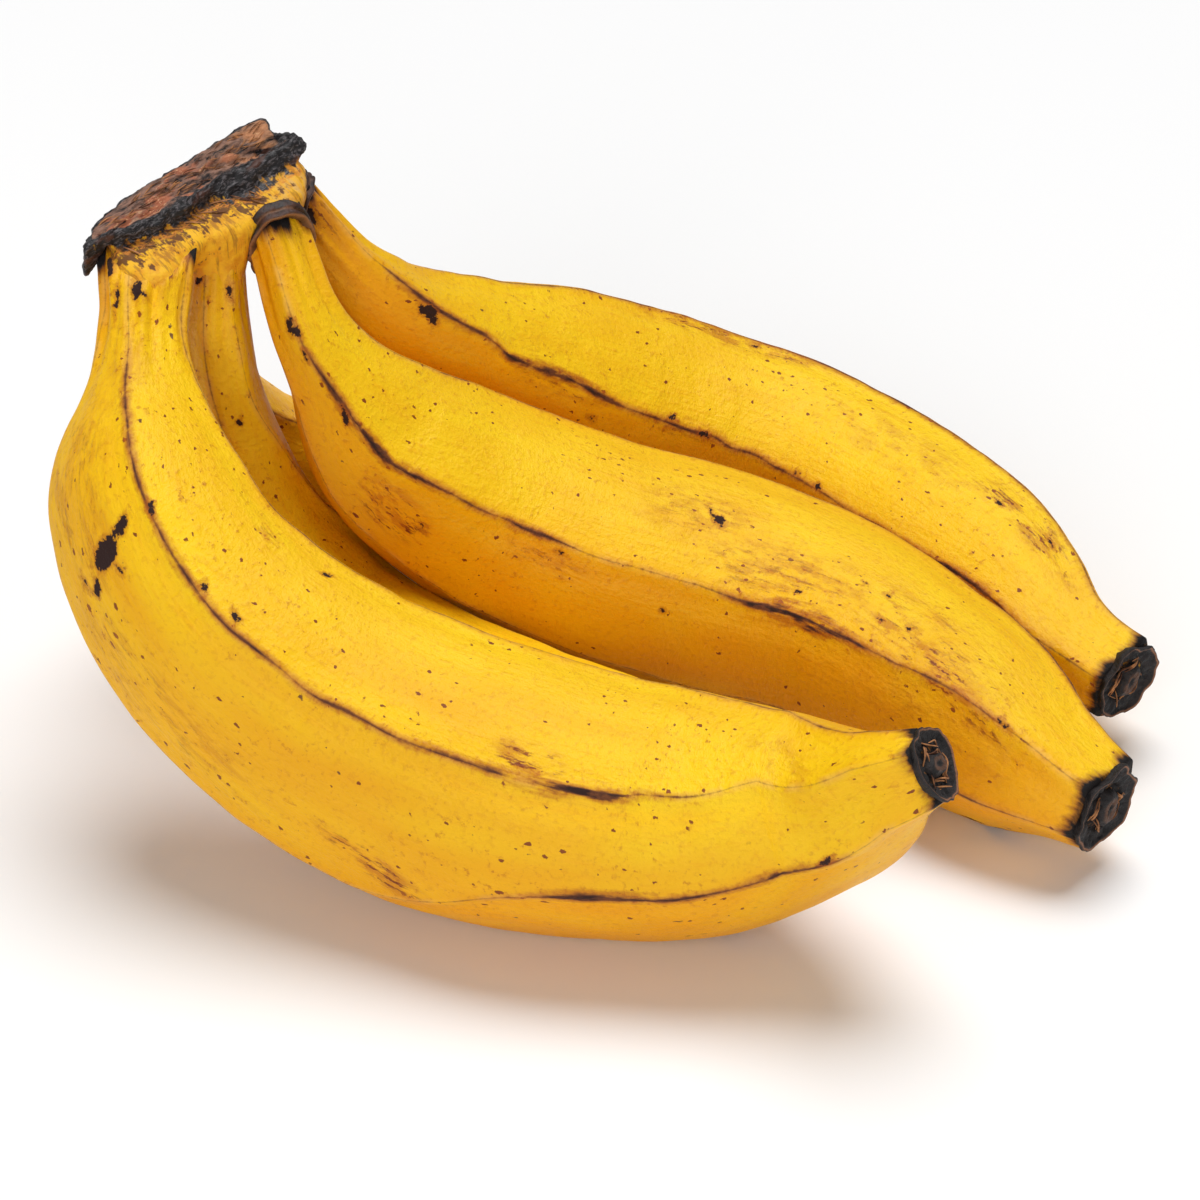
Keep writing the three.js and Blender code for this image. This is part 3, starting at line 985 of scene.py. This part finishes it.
class PeelGrid:
    """The places of one finger's peel: rings along it, and columns that crowd at its ridges."""

    def __init__(self, facts, order):
        self.length = facts["radii"][-1][0]
        ring_count = int((self.length + STALK_LEAD) * RINGS_PER_MILLIMETRE)
        self.distance = np.linspace(-STALK_LEAD, self.length, ring_count)
        self.radius = radius_at(facts, self.distance)
        self.ridges = ridge_angles(facts, order, self.distance)
        per_facet = int(2 * math.pi * self.radius.max() / RIDGE_COUNT / COLUMN_WIDTH)
        part = np.arange(per_facet) / per_facet
        part = part - CROWDING_AT_RIDGES * np.sin(2 * math.pi * part) / (2 * math.pi)
        width = (next_ridges(self.ridges) - self.ridges)[:, :, None]
        in_rings = (ring_count, -1)
        self.angle = (self.ridges[:, :, None] + part * width).reshape(in_rings)
        self.along = np.broadcast_to(self.distance[:, None], self.angle.shape)
        self.wide = np.broadcast_to(self.radius[:, None], self.angle.shape)
        self.after_ridge = (part * width).reshape(in_rings) * self.wide
        before_ridge = ((1 - part) * width).reshape(in_rings) * self.wide
        self.ridge_gap = np.minimum(self.after_ridge, before_ridge)
        self.facet = np.repeat(np.arange(RIDGE_COUNT), per_facet)
        self.past_ridge = self.after_ridge <= before_ridge
        around = outward_at(self.angle, np.array([1, 0]), np.array([0, 1]))
        far_along = self.along + 500 * order
        self.straight = np.concatenate([self.wide[..., None] * around, far_along[..., None]], -1)
        self.place = (self.along, self.angle, self.wide)

    def swell(self, wavelength, seed, stretch=1):
        """A ripple over the peel laid out straight; a low stretch draws it out lengthwise."""
        return ripple(self.straight * np.array([1, 1, stretch]), wavelength, seed)


def peel_lift(peel, facts, order, mark):
    """How far the peel stands off its plain section: ridges, hollows, swells, folds and marks."""
    ring_size = np.minimum(1, peel.radius / FULL_RELIEF_RADIUS)[:, None]
    lift = RIDGE_HEIGHT * ring_size * hill(peel.ridge_gap, 0, RIDGE_WIDTH)
    lift -= HOLLOW_DEPTH * ring_size * hill(peel.after_ridge, HOLLOW_FROM_RIDGE, HOLLOW_WIDTH)
    lift += 0.16 * ring_size * peel.swell(24, SEED["long_swell"] + order)
    lift += 0.06 * peel.swell(7, SEED["short_swell"] + order)
    fold_shape = np.cos(peel.angle * 9 + 0.05 * peel.along) + 0.7 * np.cos(peel.angle * 14 + 1.3)
    lift += facts["folds"] * fade(peel.along, 34, 6) * fold_shape
    return lift - MARK_DEPTH * fade(mark, -0.5, 0.5)


def peel_readings(peel, facts, order, mark):
    """What the peel's finish needs to know at each point."""
    by_ridge = [np.interp(peel.distance, *np.array(line, float).T) for line in facts["streaks"]]
    nearest = np.where(peel.past_ridge, peel.facet, (peel.facet + 1) % RIDGE_COUNT)
    # Gold per facet, blended across ridges: partly the peel's own tone, partly painted shade that
    # makes lower facets deeper and upper ones lighter
    gold_of = np.array(facts["gold_and_shade"])
    neighbour = np.where(peel.past_ridge, peel.facet - 1, (peel.facet + 1) % RIDGE_COUNT)
    gold_and_shade = gold_of[peel.facet]
    gold_and_shade = gold_and_shade + (gold_of[neighbour] - gold_and_shade) * 0.5 * fade(peel.ridge_gap, 3.5, 0)
    gold_and_shade += 0.15 * peel.swell(26, SEED["broad_gold"] + order, 0.2)
    gold_and_shade += 0.10 * peel.swell(7, SEED["fine_gold"] + order, 0.2)
    gold_and_shade += 0.45 * fade(peel.along, 24, 0)
    near_ridge = fade(peel.ridge_gap, 5, 0)
    char_lobes = lobes(peel.angle, 7, SEED["char_edge"] + order)
    tip_share = 0.15 + 0.6 * near_ridge + 0.5 * char_lobes
    tip_char = facts["tip_char"] * tip_share - (peel.length - peel.along)
    # Blackening in from the crown end: real char, and on the front finger partly painted shade under
    # the crown's rim
    stalk_char_and_shade = facts["stalk_char_and_shade"] * (1 + 0.3 * char_lobes) - peel.along - STALK_LEAD
    smudge = soft_ovals(facts["smudges"], *peel.place)
    flecked = 0.34 + 0.6 * smudge + 0.3 * peel.swell(30, SEED["fleck_share"] + order)
    green_swell = 1 + 0.3 * peel.swell(34, SEED["green_share"] + order)
    return {
        "straight": peel.straight,
        "ridge_gap": peel.ridge_gap,
        "streak": np.take_along_axis(np.stack(by_ridge, 1), nearest, axis=1),
        "gold_and_shade": gold_and_shade,
        "mottle": 0.5 + 0.22 * peel.swell(6, SEED["mottle"] + order),
        "green": facts["green"] * fade(peel.along, 90, 5) * green_swell,
        "mark": mark,
        "smudge": smudge,
        "flecked": np.clip(flecked + 0.2 * near_ridge, 0, 1),
        "char": np.maximum(np.maximum(tip_char, stalk_char_and_shade), DEEPEST_CHAR),
    }


def make_finger(name, facts, order, material):
    """One finger's peel, from inside the crown to its tip."""
    peel = PeelGrid(facts, order)
    middle, way = middle_line(facts, peel.distance)
    facing, lower = ring_ways(way)
    neck = fade(peel.distance, 42, 12)
    tip = fade(peel.distance, peel.length - 40, peel.length - 6)
    facet_depth = FACET_DEPTH + DEEPER_AT_NECK * neck + DEEPER_AT_TIP * tip
    marks = facts["marks"] + small_marks(SEED["small_marks"] + order, peel.length)
    mark = depth_in_ovals(marks, *peel.place)
    reach = peel.wide * section_share(peel.angle, peel.ridges, facet_depth)
    reach = reach + peel_lift(peel, facts, order, mark)
    outward = outward_at(peel.angle, facing[:, None], lower[:, None])
    rings = middle[:, None] + reach[..., None] * outward
    rings[..., 2] = np.maximum(rings[..., 2], 0)
    near_crown = peel.distance < NEAR_CROWN
    rings[near_crown] = set_back_under_face(rings[near_crown], PEEL_UNDER_FACE)
    points, faces = closed_tube(rings, middle[[0, -1]])
    readings = tube_readings(peel_readings(peel, facts, order, mark))
    return piece_from(f"peel_{name}", points, faces, material, readings)


# Blossom ends


def make_blossom_end(name, facts, order, material):
    """A thin lobed disc with a raised rim, a hollow ring and a bulb in its middle."""
    size, depth, corners = facts["blossom"]
    middle, way, facing, lower = tip_ways(facts)
    angle = full_turn(BLOSSOM_COLUMNS)
    profile = course_through(BLOSSOM_PROFILE, 64)
    across, height = profile[:, 0][:, None], profile[:, 1][:, None]
    first_ridge = math.radians(facts["ridges"][0][-1][1])
    corner_turn = 2 * math.pi / corners
    from_side = (angle - first_ridge) % corner_turn - corner_turn / 2
    polygon = np.cos(corner_turn / 2) / np.cos(from_side)
    lobed = 0.45 + 0.55 * polygon + 0.05 * lobes(angle, 9, SEED["end_lobes"] + order)
    reach = size * across * (1 + (lobed / lobed.mean() - 1) * fade(across, 0.35, 0.9))
    reach = reach * (1 + fade(across, 0.5, 0.35) * 0.25 * np.cos(angle * 2 + order * 0.9))
    rise = depth * height * np.ones(BLOSSOM_COLUMNS)
    place = np.stack([reach * np.cos(angle), reach * np.sin(angle), rise], -1)

    rim_waves = ripple(place * [1, 1, 0], 5, SEED["end_rim"] + order)
    folds = crumple(place, 3.2, SEED["end_folds"] + order) - 0.5
    spokes = np.cos(angle * 17 + 3 * lobes(angle, 12, SEED["end_spokes"] + order))
    rise = rise + 0.22 * fade(across, 0.8, 0.95) * rim_waves
    rise = rise + 0.3 * folds * fade(across, 1.0, 0.8)
    rise = rise + 0.18 * spokes * fade(across, 0.45, 0.6) * fade(across, 0.95, 0.8)
    edge_waves = ripple(place, 2.4, SEED["end_edge"] + order)
    reach = reach + 0.18 * edge_waves * fade(across, 0.1, 0.6)
    outward = outward_at(angle, facing, lower)
    rings = middle + reach[..., None] * outward[None] + rise[..., None] * way
    edge = hill(across, 0.975, 0.02) * fade(height, 0.6, 0.75)
    edge = edge + 0.3 * fade(across, 0.3, 0.22) * fade(across, 0.08, 0.16)
    readings = {"husk_place": place + 40 * order, "edge": edge * np.ones(BLOSSOM_COLUMNS)}
    ends = np.vstack([middle - 0.3 * depth * way, middle + 0.85 * depth * way])
    points, faces = closed_tube(rings, ends)
    points[:, 2] = np.maximum(points[:, 2], 0)
    return piece_from(f"dried_end_{name}", points, faces, material, tube_readings(readings))


def thread_tube(course, radius, sides=6):
    """A closed thin tube along a course, thinner at its ends."""
    way = unit(np.gradient(course, axis=0))
    first = unit(np.cross(way, unit([0.31, 0.52, 0.79])))
    second = np.cross(way, first)
    share = np.linspace(0, 1, len(course))
    thickness = radius * (0.35 + 0.65 * np.sin(math.pi * share) ** 0.5)
    around = outward_at(full_turn(sides), first[:, None], second[:, None])
    return closed_tube(course[:, None] + thickness[:, None, None] * around, course[[0, -1]])


def make_blossom_threads(name, facts, order, material):
    """Curly threads left of the flower's style, lying in the hollow round the bulb."""
    chance = np.random.default_rng(SEED["threads"] + order)
    size, depth, _ = facts["blossom"]
    middle, way, facing, lower = tip_ways(facts)
    points, faces = [], []
    for _ in range(THREADS):
        start = chance.uniform(0, 2 * math.pi)
        turn = start + np.linspace(0, chance.uniform(0.6, 2.4), THREAD_POINTS)
        reach = size * (0.44 + 0.10 * np.sin(turn * 3 + start) + chance.uniform(-0.04, 0.12))
        reach = reach + np.linspace(0, chance.uniform(-0.5, 1.6), THREAD_POINTS)
        rise = depth * (0.45 + 0.4 * np.sin(turn * 4 + start))
        course = middle + reach[:, None] * outward_at(turn, facing, lower) + rise[:, None] * way
        thread_points, thread_faces = thread_tube(course, chance.uniform(0.12, 0.2))
        first = sum(len(part) for part in points)
        points.append(thread_points)
        faces += [tuple(corner + first for corner in face) for face in thread_faces]
    return piece_from(f"blossom_threads_{name}", np.vstack(points), faces, material)


# Collars


def make_collar(name, order, material, low, high, tilt_angle, size):
    """The dried double band round the top of a stalk. It leans, so it runs from low to high."""
    facts = FINGERS[name]
    angle = full_turn(COLLAR_COLUMNS)
    lean = 0.5 - 0.5 * np.cos(angle - math.radians(tilt_angle))
    profile = course_through(COLLAR_PROFILE, 44)
    along, out = profile[:, 0][:, None], profile[:, 1][:, None]
    wobble = 0.35 * lobes(angle, 8, SEED["collar_lean"] + order)
    distance = low + (high - low) * lean + along * size + wobble
    middle, way = middle_line(facts, distance)
    facing, lower = ring_ways(way)
    radius = radius_at(facts, distance)
    place = [radius * np.cos(angle), radius * np.sin(angle), along + 0 * radius]
    place = np.stack(place, -1)
    creases = crumple(place * [1, 1, 0.15], 2.6, SEED["collar_cracks"] + order)
    bumps = ripple(place, 2.2, SEED["collar_bumps"] + order)
    reach = radius + out * size + 0.18 * bumps - 0.35 * fade(creases, 0.8, 1.0)
    rings = middle + reach[..., None] * outward_at(angle, facing, lower)
    points = set_back_under_face(rings, COLLAR_UNDER_FACE)
    edge = (hill(along, 1.6, 0.25) + 0.6 * hill(along, 0, 0.3)) * np.ones(COLLAR_COLUMNS)
    faces = ring_faces(len(profile), COLLAR_COLUMNS)
    last = (len(profile) - 1) * COLLAR_COLUMNS
    for column in range(COLLAR_COLUMNS):
        beside = (column + 1) % COLLAR_COLUMNS
        faces.append((last + column, last + beside, beside, column))
    readings = {"husk_place": place.reshape(-1, 3), "edge": edge.ravel()}
    return piece_from(f"collar_{name}", points.reshape(-1, 3), faces, material, readings)


# The crown: solids are fields, below 0 inside and above 0 outside


def join_softly(first, second, reach):
    """Two solids that flow into each other."""
    share = np.clip(0.5 + 0.5 * (second - first) / reach, 0, 1)
    return second * (1 - share) + first * share - reach * share * (1 - share)


def outline_gap(places):
    """The distance from places on the cut face to its outline, below 0 inside."""
    loop = np.array(FACE_OUTLINE, float)
    around = np.vstack([loop[-1], loop, loop[0], loop[1]])
    count = OUTLINE_STEPS * (len(around) - 1) + 1
    outline = course_through(around, count)[OUTLINE_STEPS:-2 * OUTLINE_STEPS]
    gap = np.full(places.shape[:-1], np.inf)
    inside = np.zeros(places.shape[:-1], bool)
    for start, end in zip(outline, np.roll(outline, -1, axis=0)):
        side = end - start
        if side @ side == 0:
            continue
        offset = places - start
        share = np.clip(offset @ side / (side @ side), 0, 1)
        gap = np.minimum(gap, np.linalg.norm(offset - share[..., None] * side, axis=-1))
        crosses = (start[1] > places[..., 1]) != (end[1] > places[..., 1])
        rise = side[1] if side[1] else 1e-9
        meets = places[..., 0] < start[0] + (places[..., 1] - start[1]) * side[0] / rise
        inside ^= crosses & meets
    return np.where(inside, -gap, gap)


def stalk_gap(places, start, end, start_radius, end_radius):
    """The distance to a round stalk that runs from start to end."""
    side = end - start
    share = np.clip((places - start) @ side / (side @ side), 0, 1)
    radius = start_radius + (end_radius - start_radius) * share
    return np.linalg.norm(places - start - share[..., None] * side, axis=-1) - radius


def rim_foot(places):
    """The height of the dark rim's foot, below the cut face; it hangs lower at its free end."""
    return -(RIM_DEPTH + LIP_DROP * fade(places[..., 0], -22.5, -27))


def beside_rim(places, edge_gap):
    """The distance out from the rim's side, which leans outwards under the wide end."""
    lean = RIM_LEAN * fade(places[..., 0], 0, 6) * fade(places[..., 1], 3, -1)
    return edge_gap + lean * places[..., 2]


def face_relief(places):
    """Bumps of the cut face: long fibres, a gentle bend and the cleft between its two lobes."""
    flat = places * np.array([0.22, 1.0])
    fibres = 0.4 * ripple(flat, 2.6, SEED["long_fibres"])
    fibres = fibres + 0.25 * ripple(flat, 1.2, SEED["short_fibres"])
    cleft_line = 1.2 - 0.05 * (places[..., 0] - 22)
    cleft = fade(places[..., 0], -8, 20) * hill(places[..., 1], cleft_line, 1.4)
    return fibres + 0.2 * ripple(places, 16, SEED["face_bend"]) - CLEFT_DEPTH * cleft


def slab_field(places, edge_gap, relief):
    """The cut slab with its rim, its edges rounded off."""
    ragged = 0.22 * ripple(places, 4, SEED["slab_edge"])
    height = places[..., 2]
    beside = beside_rim(places, edge_gap) + ragged
    below_face = height - relief * fade(-edge_gap, -0.5, 1.5)
    above = np.maximum(below_face, rim_foot(places) - height + ragged)
    past_side = np.maximum(beside + EDGE_ROUNDING, 0)
    past_top = np.maximum(above + EDGE_ROUNDING, 0)
    inner = np.minimum(np.maximum(beside, above) + EDGE_ROUNDING, 0)
    return np.hypot(past_side, past_top) + inner - EDGE_ROUNDING


def cushion_field(places, edge_gap):
    """The seats round the stalks, grown together and kept under the rim and inside its far side."""
    seats = None
    for facts in FINGERS.values():
        start_at, end_at, wider_at_start, wider_at_end = facts["crown_reach"]
        ends, _ = middle_line(facts, np.array([start_at, end_at]))
        start, end = in_crown(ends)
        radii = radius_at(facts, np.array([0.0, end_at])) + np.array([wider_at_start, wider_at_end])
        seat = stalk_gap(places, start, end, *radii)
        seats = seat if seats is None else join_softly(seats, seat, 4.5)
    core = stalk_gap(places, CORE_START, CORE_END, *CORE_RADII)
    cushion = join_softly(seats, core, 5)
    cushion = -join_softly(-cushion, -(places[..., 2] + SIDE_UNDER_FACE), 2.5)
    far_side = edge_gap + FAR_SIDE_SLOPE * places[..., 2] - 20 * fade(places[..., 1], 4, 0)
    return np.maximum(cushion, far_side)


def skin_of(field, corner, step):
    """The surface where a field on a regular grid is 0, as points and quads facing outwards."""
    solid = field < 0
    cells, spots, flips = [], [], []
    for axis in range(3):
        low, high = [slice(1, -1)] * 3, [slice(1, -1)] * 3
        low[axis], high[axis] = slice(1, -2), slice(2, -1)
        found = np.argwhere(solid[tuple(low)] != solid[tuple(high)]) + 1
        beyond = found.copy()
        beyond[:, axis] += 1
        at_low, at_high = field[tuple(found.T)], field[tuple(beyond.T)]
        spot = found.astype(float)
        spot[:, axis] += at_low / (at_low - at_high)
        around = []
        for back, down in ((1, 1), (0, 1), (0, 0), (1, 0)):
            cell = found.copy()
            cell[:, (axis + 1) % 3] -= back
            cell[:, (axis + 2) % 3] -= down
            around.append(np.ravel_multi_index(cell.T, field.shape))
        cells.append(np.stack(around, 1))
        spots.append(spot)
        flips.append(at_low >= 0)
    cells, spots, flip = np.vstack(cells), np.vstack(spots), np.concatenate(flips)
    used, corners = np.unique(cells, return_inverse=True)
    corners = corners.reshape(cells.shape)
    flat = corners.ravel()
    count = np.bincount(flat, minlength=len(used))
    sums = [np.bincount(flat, np.repeat(spots[:, axis], 4), len(used)) for axis in range(3)]
    corners[flip] = corners[flip][:, ::-1]
    return np.stack(sums, 1) / count[:, None] * step + corner, corners


def point_normals(points, quads):
    """The outward direction at each point, from the quads round it."""
    one_diagonal = points[quads[:, 2]] - points[quads[:, 0]]
    other_diagonal = points[quads[:, 3]] - points[quads[:, 1]]
    flat = np.cross(one_diagonal, other_diagonal)
    normals = np.zeros_like(points)
    for corner in range(4):
        np.add.at(normals, quads[:, corner], flat)
    return unit(normals + 1e-12)


def crown_shares(points, normals):
    """How far each point belongs to the cut face, and how high it stands above the rim's foot."""
    edge_gap = outline_gap(points[:, :2])
    above_foot = points[:, 2] - rim_foot(points)
    above_foot = np.minimum(above_foot, RIM_THICKNESS - beside_rim(points, edge_gap))
    cut_share = fade(normals[:, 2], 0.3, 0.75) * fade(points[:, 2], -2.8, -1.4)
    near = fade(points[:, 1], 4, 0)
    return cut_share * fade(-edge_gap, 0.3, 1.2 + NEAR_RIM_WIDTH * near), above_foot


def crown_lift(points, cut_share, rim_share):
    """How far the fine relief lifts each point: grain on the cut and the sides, folds on the rim."""
    folds = crumple(points * np.array([1.0, 1.0, 0.45]), 2.6, SEED["rim_folds"]) - 0.55
    rim_relief = 0.5 * folds + 0.15 * ripple(points, 1.3, SEED["rim_grit"])
    rim_relief = rim_relief * (1 - 0.6 * fade(points[:, 1], 2, 6))
    cut_relief = 0.3 * ripple(points * np.array([0.25, 1, 1]), 1.4, SEED["cut_grain"])
    side_relief = 0.12 * ripple(points * np.array([1, 1, 0.3]), 2.5, SEED["side_grain"])
    side_share = 1 - cut_share - rim_share
    return cut_share * cut_relief + rim_share * rim_relief + side_share * side_relief


def make_crown(material):
    """The crown, and its points, quads and readings as seen from the cut face."""
    axes = [
        start + np.arange(0, length, CROWN_STEP)
        for start, length in zip(CROWN_GRID_CORNER, CROWN_GRID_SIZE)
    ]
    places = np.stack(np.meshgrid(*axes, indexing="ij"), -1)
    on_face = np.stack(np.meshgrid(*axes[:2], indexing="ij"), -1)
    edge_gap = outline_gap(on_face)[:, :, None]
    slab = slab_field(places, edge_gap, face_relief(on_face)[:, :, None])
    field = join_softly(slab, cushion_field(places, edge_gap), 1.0)
    points, quads = skin_of(field, CROWN_GRID_CORNER, CROWN_STEP)
    normals = point_normals(points, quads)
    cut_share, above_foot = crown_shares(points, normals)
    rim_share = fade(above_foot, -0.6, 0.4) * (1 - cut_share)
    points = points + crown_lift(points, cut_share, rim_share)[:, None] * normals
    readings = {
        "crown_place": points,
        "above_rim_foot": above_foot,
        "cut_share": cut_share,
        "wide_end": fade(points[:, 0], 4, 20),
    }
    crown = piece_from("crown_cut", in_hand(points), quads.tolist(), material, readings)
    return crown, points, quads, readings


# Fibres scattered over a patch of the crown


def fibre_tree(name, material):
    """Bent, tapered fibres scattered over a patch's faces and laid along one direction."""
    tree = bpy.data.node_groups.new(name, "GeometryNodeTree")
    sockets = [
        ("Patch", "INPUT", "Geometry"), ("Per Square Metre", "INPUT", "Float"),
        ("Length", "INPUT", "Float"), ("Thickness", "INPUT", "Float"), ("Bend", "INPUT", "Float"),
        ("Spread", "INPUT", "Float"), ("Direction", "INPUT", "Vector"), ("Seed", "INPUT", "Int"),
        ("Fibres", "OUTPUT", "Geometry"),
    ]
    for label, way, kind in sockets:
        tree.interface.new_socket(label, in_out=way, socket_type=f"NodeSocket{kind}")
    plan = NodePlan(tree)
    inlet = plan.add("NodeGroupInput", {}, {}, "Patch")
    seed, spread = inlet.other("Seed"), inlet.other("Spread")
    half = inlet.other("Length") * 0.5

    def vector(**parts):
        """A vector from the parts that aren't 0."""
        return plan.add("ShaderNodeCombineXYZ", {}, parts)

    course = {"Resolution": 7, "Start": vector(X=half * -1.0), "End": vector(X=half)}
    course["Middle"] = vector(Z=inlet.other("Bend"))
    curve = plan.add("GeometryNodeCurveQuadraticBezier", {}, course)
    along = plan.add("GeometryNodeSplineParameter", {}, {}, "Factor")
    taper = plan.maths("SINE", along * math.pi) * 0.8 + 0.2
    curve = plan.add("GeometryNodeSetCurveRadius", {}, {"Curve": curve, "Radius": taper})
    circle = {"Resolution": 4, "Radius": inlet.other("Thickness")}
    profile = plan.add("GeometryNodeCurvePrimitiveCircle", {}, circle)
    thickness = plan.add("GeometryNodeInputRadius", {}, {})
    tube = {"Curve": curve, "Profile Curve": profile, "Scale": thickness, "Fill Caps": True}
    strand = plan.add("GeometryNodeCurveToMesh", {}, tube)

    scatter = plan.add(
        "GeometryNodeDistributePointsOnFaces",
        {"distribute_method": "RANDOM"},
        {"Mesh": inlet, "Density": inlet.other("Per Square Metre"), "Seed": seed},
        "Points",
    )
    upright = plan.add(
        "FunctionNodeAxesToRotation",
        {"primary_axis": "Z", "secondary_axis": "X"},
        {"Primary Axis": scatter.other("Normal"), "Secondary Axis": inlet.other("Direction")},
    )
    lowest = vector(Y=spread * -0.4, Z=spread * -1.0)
    highest = vector(Y=spread * 0.4, Z=spread)
    between = {0: lowest, 1: highest, "Seed": seed}
    swing = plan.add("FunctionNodeRandomValue", {"data_type": "FLOAT_VECTOR"}, between)
    swing = plan.add("FunctionNodeEulerToRotation", {}, {0: swing})
    turns = {"Rotation": upright, "Rotate By": swing}
    turned = plan.add("FunctionNodeRotateRotation", {"rotation_space": "LOCAL"}, turns)
    sizes = {2: 0.35, 3: 1.3, "Seed": seed}
    growth = plan.add("FunctionNodeRandomValue", {"data_type": "FLOAT"}, sizes, 1)
    strands = {"Points": scatter, "Instance": strand, "Rotation": turned, "Scale": growth}
    placed = plan.add("GeometryNodeInstanceOnPoints", {}, strands)
    solid = plan.add("GeometryNodeRealizeInstances", {}, {"Geometry": placed})
    finished = plan.add("GeometryNodeSetMaterial", {}, {"Geometry": solid, "Material": material})
    outlet = tree.nodes.new("NodeGroupOutput")
    tree.links.new(finished.socket, outlet.inputs["Fibres"])
    return tree


def grow_fibres(name, points, quads, tree, settings):
    """Runs a fibre tree over a patch of the crown and keeps what grows as a plain mesh."""
    patch = piece_from(f"{name}_patch", points, quads, bpy.data.materials["dried_fibre"])
    grower = patch.modifiers.new("fibres", "NODES")
    grower.node_group = tree
    for item in tree.interface.items_tree:
        if item.name in settings:
            grower[item.identifier] = settings[item.name]
    seen = patch.evaluated_get(bpy.context.evaluated_depsgraph_get())
    mesh = bpy.data.meshes.new_from_object(seen)
    mesh.name = name
    patch.modifiers.remove(grower)
    bpy.data.objects.remove(patch)
    fibres = bpy.data.objects.new(name, mesh)
    bpy.context.scene.collection.objects.link(fibres)
    return fibres


# Everything put together


def wearing(piece, slot, *nodes):
    """The piece goes with the hand and stands for these nodes, whose CAD parts are hidden. slot is not
    used.
    """
    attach(piece, "root")
    if nodes:
        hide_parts(*nodes)


peel_look = ripe_peel()
crown_look = dried_crown()
husk_look = dried_husk()
fibre_look = dried_fibre()
collar_look = collar_skin()

for order, (name, facts) in enumerate(FINGERS.items()):
    wearing(make_finger(name, facts, order, peel_look), "peel", f"finger_{name}")
    end = make_blossom_end(name, facts, order, husk_look)
    wearing(end, "dried_blossom", f"blossom_end_{name}")
    wearing(make_blossom_threads(name, facts, order, fibre_look), "dried_blossom")

wearing(make_collar("middle", 0, collar_look, -5.0, 6.0, -15, 1.0), "dried_crown")
wearing(make_collar("back", 1, collar_look, 0.0, 8.0, -80, 0.9), "dried_crown")

crown, crown_points, crown_quads, crown_readings = make_crown(crown_look)
wearing(crown, "dried_crown", "crown")

well_inside = outline_gap(crown_points[:, :2]) < -1.2
on_cut = (crown_readings["cut_share"] > 0.7) & well_inside
near_side = (crown_points[:, 1] < 0) & (crown_points[:, 0] < 12)
above_foot = crown_readings["above_rim_foot"]
below_rim = near_side & (above_foot < 0.2) & (above_foot > -2.2)
cut_growth = {
    "Per Square Metre": 330000.0,
    "Length": 0.0034,
    "Thickness": 0.00012,
    "Bend": 0.0005,
    "Spread": 0.4,
    "Direction": tuple(ALONG.tolist()),
    "Seed": 5,
}
rim_growth = {
    "Per Square Metre": 150000.0,
    "Length": 0.005,
    "Thickness": 0.00016,
    "Bend": 0.0004,
    "Spread": 0.45,
    "Direction": tuple((0.6 * ALONG - 0.8 * ACROSS).tolist()),
    "Seed": 9,
}
growths = [("cut_fibres", on_cut, cut_growth), ("rim_fibres", below_rim, rim_growth)]
fibre_growth = fibre_tree("fibre_growth", fibre_look)
for label, in_patch, growth in growths:
    patch_quads = crown_quads[in_patch[crown_quads].all(1)].tolist()
    fibres = grow_fibres(label, in_hand(crown_points), patch_quads, fibre_growth, growth)
    wearing(fibres, "dried_crown")


def pale_floor():
    """A wide white floor, a little cloudy."""
    floor_look = Finish("pale_floor")
    place = floor_look.add("ShaderNodeTexCoord", {}, {}, "Object")
    cloud = floor_look.noise(place, 0.4, 1.0)
    colour = floor_look.layered(FLOOR_WHITE, (cloud, FLOOR_BRIGHT))
    look = floor_look.wear(colour, cloud * 0.05 + 0.8, cloud * 0.0, 0.1)
    half = FLOOR_REACH / MILLIMETRE
    corners = [(-half, -half, 0), (half, -half, 0), (half, half, 0), (-half, half, 0)]
    piece_from("floor", corners, [(0, 1, 2, 3)], look, smooth=False)


def lamp(name, kind, energy, direction, distance=1.0, **settings):
    """A lamp that shines on the hand from a direction."""
    data = bpy.data.lights.new(name, kind)
    data.energy = energy
    for label, value in settings.items():
        setattr(data, label, value)
    holder = bpy.data.objects.new(name, data)
    aim = unit(direction)
    holder.location = aim * distance
    down = -aim
    tilt = math.atan2(math.hypot(down[0], down[1]), -down[2])
    holder.rotation_euler = (tilt, 0, math.atan2(down[1], down[0]) - math.pi / 2)
    bpy.context.scene.collection.objects.link(holder)


def bright_room():
    """An even white light from all sides."""
    world = bpy.data.worlds.new("studio")
    world.use_nodes = True
    background = world.node_tree.nodes["Background"]
    background.inputs["Color"].default_value = (1, 1, 1, 1)
    background.inputs["Strength"].default_value = ROOM_STRENGTH
    bpy.context.scene.world = world
    bpy.context.scene.view_settings.view_transform = "Standard"


def camera_in_front():
    """The camera, which looks down on the hand from its front."""
    camera_data = bpy.data.cameras.new("camera")
    camera_data.lens = CAMERA_LENS
    camera_data.sensor_width = CAMERA_SENSOR
    camera_data.clip_start = CAMERA_NEAR
    camera = bpy.data.objects.new("camera", camera_data)
    camera.location = CAMERA_PLACE
    camera.rotation_euler = (math.radians(CAMERA_TILT), 0, 0)
    bpy.context.scene.collection.objects.link(camera)
    bpy.context.scene.camera = camera


pale_floor()
lamp("soft_key", "SUN", SUN_STRENGTH, SUN_WAY, angle=math.radians(SUN_ANGLE))
lamp("front_fill", "AREA", FILL_WATTS, FILL_WAY, FILL_DISTANCE, shape="DISK", size=FILL_SIZE)
bright_room()
camera_in_front()
